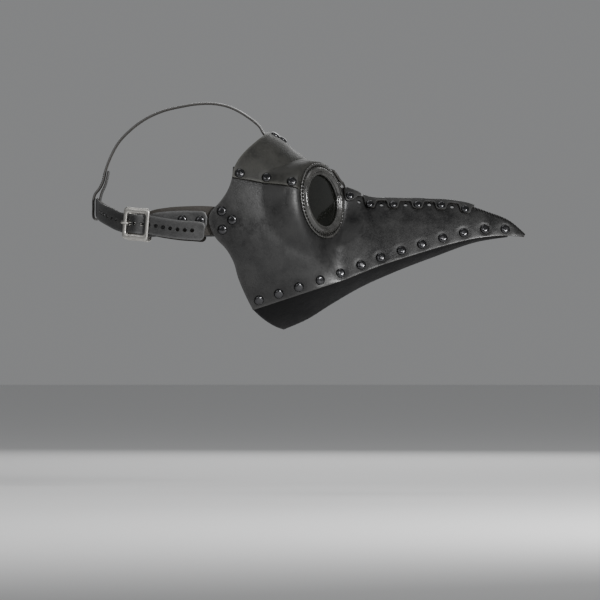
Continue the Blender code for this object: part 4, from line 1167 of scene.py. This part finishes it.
RIVETS = rivet_tree()
RIDGE_RIVETS = ((152.3, 19.6), (176.7, 19.1), (202.3, 19.1), (227.0, 18.4), (252.3, 14.4))
NOSE_RIVET = (131.3, 28.0)
RIDGE_CAP_STANDING = 4.0
NOSE_CAP_STANDING = 3.8


def socket_of(tree, name):
    """The identifier of a tree's named input."""
    items = tree.interface.items_tree
    return next(item.identifier for item in items if item.name == name and item.in_out == "INPUT")


def grown(name, tree, places, material, material_input, stored, sizes=None):
    """Runs a tree on points, and keeps the result as a plain mesh."""
    mesh = bpy.data.meshes.new(name)
    mesh.from_pydata([tuple(np.asarray(place) * MM) for place in places], [], [])
    for attribute, (kind, values) in stored.items():
        layer = mesh.attributes.new(attribute, kind, "POINT")
        field = "vector" if kind == "FLOAT_VECTOR" else "value"
        layer.data.foreach_set(field, np.asarray(values, np.float32).ravel())
    piece = bpy.data.objects.new(name, mesh)
    bpy.context.scene.collection.objects.link(piece)
    modifier = piece.modifiers.new(name, "NODES")
    modifier.node_group = tree
    modifier[socket_of(tree, material_input)] = material
    for input_name, value in (sizes or {}).items():
        modifier[socket_of(tree, input_name)] = value
    settle(piece)
    return piece


def both_sides(places):
    """Left (place, normal) pairs and their mirror images."""
    return places + [(place * MIRROR, normal * MIRROR) for place, normal in places]


def lifted(places, height):
    return [(place + height * normal, normal) for place, normal in places]


crown_places = []
for x, y in ((51.5, -7.0), (59.0, 0.0), (51.5, 7.0)):
    normal = unit(np.array([0.55, y / 60, 0.83]))
    rest = np.array([x, y, float(crest(x)) - 0.5 * y * y / 90])
    crown_places.append((rest + 2.7 * normal, normal))
TAB_STACK = 1.5 * STRAP_THICKNESS + 0.4
tab_places = [
    (np.array([x, float(tab_plan(x)) + TAB_STACK, z]), np.array([0.0, 1.0, 0.0])) for x, z in TAB_RIVETS
]
ridge_places = lifted(on_side(RIDGE_RIVETS, RIDGE_CAP_STANDING), 0.3 + RIDGE_THICKNESS)
nose_places = lifted(on_side([NOSE_RIVET], NOSE_CAP_STANDING), 2.5)
CAP_SINK, BROW_CAP_SINK = 0.45, 0.4
SMALL_CAP = 0.86
jaw_depth = LEATHER_THICKNESS + LINING_THICKNESS + 0.3
groups = (
    ("jaw_rivets", both_sides(lifted(jaw_places, -CAP_SINK)), jaw_depth - 0.4, 1.0),
    ("ear_rivets", both_sides(lifted(ear_places, -CAP_SINK)), 5.6, 1.0),
    ("tab_rivets", both_sides(tab_places), 5.2, 1.0),
    ("crown_rivets", crown_places, 5.6, 1.0),
    ("brow_rivets", both_sides(lifted(brow_places, -BROW_CAP_SINK)), 5.0, 1.0),
    ("ridge_rivets", both_sides(ridge_places), 5.2, SMALL_CAP),
    ("nose_rivets", both_sides(nose_places), 5.0, SMALL_CAP),
)
cad_rivets = {
    "jaw_rivets": "jaw_rivet_", "ear_rivets": "ear_rivet_", "tab_rivets": "tab_rivet_",
    "crown_rivets": "crown_rivet_",
}
for name, places, depth, size in groups:
    rivets = grown(
        name, RIVETS, [place for place, _ in places], RIVET_METAL, "Metal",
        {
            "facing": ("FLOAT_VECTOR", [normal for _, normal in places]),
            "depth": ("FLOAT", [-depth * MM] * len(places)),
            "size": ("FLOAT", [size] * len(places)),
        },
    )
    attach(rivets, "mask")
    if name in cad_rivets:
        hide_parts(*[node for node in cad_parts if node.startswith(cad_rivets[name])])


# ------------------------------------------------------------------ stitching
# Waxed black thread: back stitches round each eye ring, whip stitches along the keel and over the bare tip
# of the beak, and a box of stitches that closes the crown strap's loop.

THREAD = Finish("waxed thread", Specular_IOR_Level=0.15)
thread_place = THREAD.place()
thread_twist = THREAD.node(
    "ShaderNodeTexWave", {"bands_direction": "DIAGONAL"}, {"Vector": thread_place, "Scale": 900.0}, 1
)
thread_wear = THREAD.noise(thread_place, 300.0)
THREAD.show("Base Color", THREAD.blend(thread_wear, (0.003, 0.003, 0.003), (0.010, 0.010, 0.009)))
THREAD.show("Roughness", 0.62 + thread_twist * 0.2)
THREAD.relief(thread_twist, 0.0001, 0.6)


def stitch_tree():
    """Points with a run and a length become stitches, each a plump spindle of thread."""
    graph = Growth("stitches", {"Thread radius": 0.45}, "Thread")
    radius = graph.given["Thread radius"]
    size = graph.xyz(radius, radius, graph.stored("length", "FLOAT"))
    spindle = graph.node("GeometryNodeMeshUVSphere", None, {"Segments": 8, "Rings": 6, "Radius": 1.0})
    run = graph.stored("run", "FLOAT_VECTOR")
    return graph.finished(graph.copies(graph.points, spindle, run, size))


STITCHES = stitch_tree()


def sew(name, stitches, radius):
    """Stitches given as (place, run, half length)."""
    piece = grown(
        name, STITCHES, [stitch[0] for stitch in stitches], THREAD.material, "Thread",
        {
            "run": ("FLOAT_VECTOR", [stitch[1] for stitch in stitches]),
            "length": ("FLOAT", [stitch[2] * MM for stitch in stitches]),
        },
        {"Thread radius": radius * MM},
    )
    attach(piece, "mask")


def whipped(edge, xs, drop, surface, lean, length):
    """Whip stitches over an edge at the midline: one down each flank, and one across the edge itself."""
    stitches = []
    for x in xs:
        rise = float(edge(x + 1) - edge(x - 1)) / 2
        forward = unit(np.array([1.0, 0.0, rise]))
        top = np.array([x, 0.0, float(edge(x)) - 0.15 * drop])
        for side in (1, -1):
            foot = surface(x + lean * abs(drop), float(edge(x)) - drop) * np.array([1, side, 1])
            stitches.append(((top + foot) / 2 + np.array([0, 0.35 * side, 0]), unit(foot - top), length))
        stitches.append((top, unit(np.array([0.0, 1.0, 0.0]) + 0.3 * forward), length * 0.55))
    return stitches


eye_first, eye_second = frame_round(EYE_NORMAL)
eye_stitches = []
for k in range(STITCHES_ROUND_EYE):
    turn = 2 * math.pi * (k + 0.5) / STITCHES_ROUND_EYE
    spoke = math.cos(turn) * eye_first + math.sin(turn) * eye_second
    run = -math.sin(turn) * eye_first + math.cos(turn) * eye_second
    eye_stitches.append((EYE_CENTRE + EYE_STITCH_RADIUS * spoke + EYE_STITCH_HEIGHT * EYE_NORMAL, run, 1.5))
eye_stitches += [(place * MIRROR, run * MIRROR, half) for place, run, half in eye_stitches]
sew("eye_stitches", eye_stitches, 0.72)


def keel_flank(x, z):
    """A place on the lower beak's flank close to the keel."""
    return np.array([x, 1.0 + 0.55 * (z - float(keel(x))), z])


sew("keel_stitches", whipped(keel, np.arange(64, 296, 4.6), -3.2, keel_flank, 0.4, 1.9), 0.6)
tip_xs = 263.5 + (313 - 263.5) * np.linspace(0, 1, 19) ** 0.95
sew("tip_stitches", whipped(crest, tip_xs, 3.0, side_surface, 0.55, 2.1), 0.62)

LOOP_STITCH_INSET = 1.25
LOOP_STITCH_HALF = 0.85
loop_stitches = []
loop_line = ((29, -136.2), (34.4, -131.9), (41, -128.3), (54.4, -125))
loop_x = through(loop_line)
for y in (-9.5, 9.5):
    for z in np.linspace(33, 50, 9):
        place = np.array([float(loop_x(z)) - LOOP_STITCH_INSET, y, z])
        loop_stitches.append((place, unit(np.array([0.35, 0, 1.0])), LOOP_STITCH_HALF))
for y in np.linspace(-8, 8, 8):
    for z in (32.0, 51.5):
        place = np.array([float(loop_x(z)) - LOOP_STITCH_INSET, y, z])
        loop_stitches.append((place, np.array([0, 1.0, 0]), LOOP_STITCH_HALF))
sew("loop_stitches", loop_stitches, 0.4)


# ------------------------------------------------------------------ floor
# A plain pale sheet, matt, well below the mask. It only catches the light, and is not part of the mask.

FLOOR_HEIGHT = -0.285
floor_finish = Finish("pale floor", Roughness=0.8)
floor_finish.show("Base Color", (0.80, 0.80, 0.80, 1.0))
bpy.ops.mesh.primitive_circle_add(vertices=96, radius=9, fill_type="NGON", location=(0, 0, FLOOR_HEIGHT))
floor = bpy.context.object
floor.name = "floor"
floor.data.materials.append(floor_finish.material)
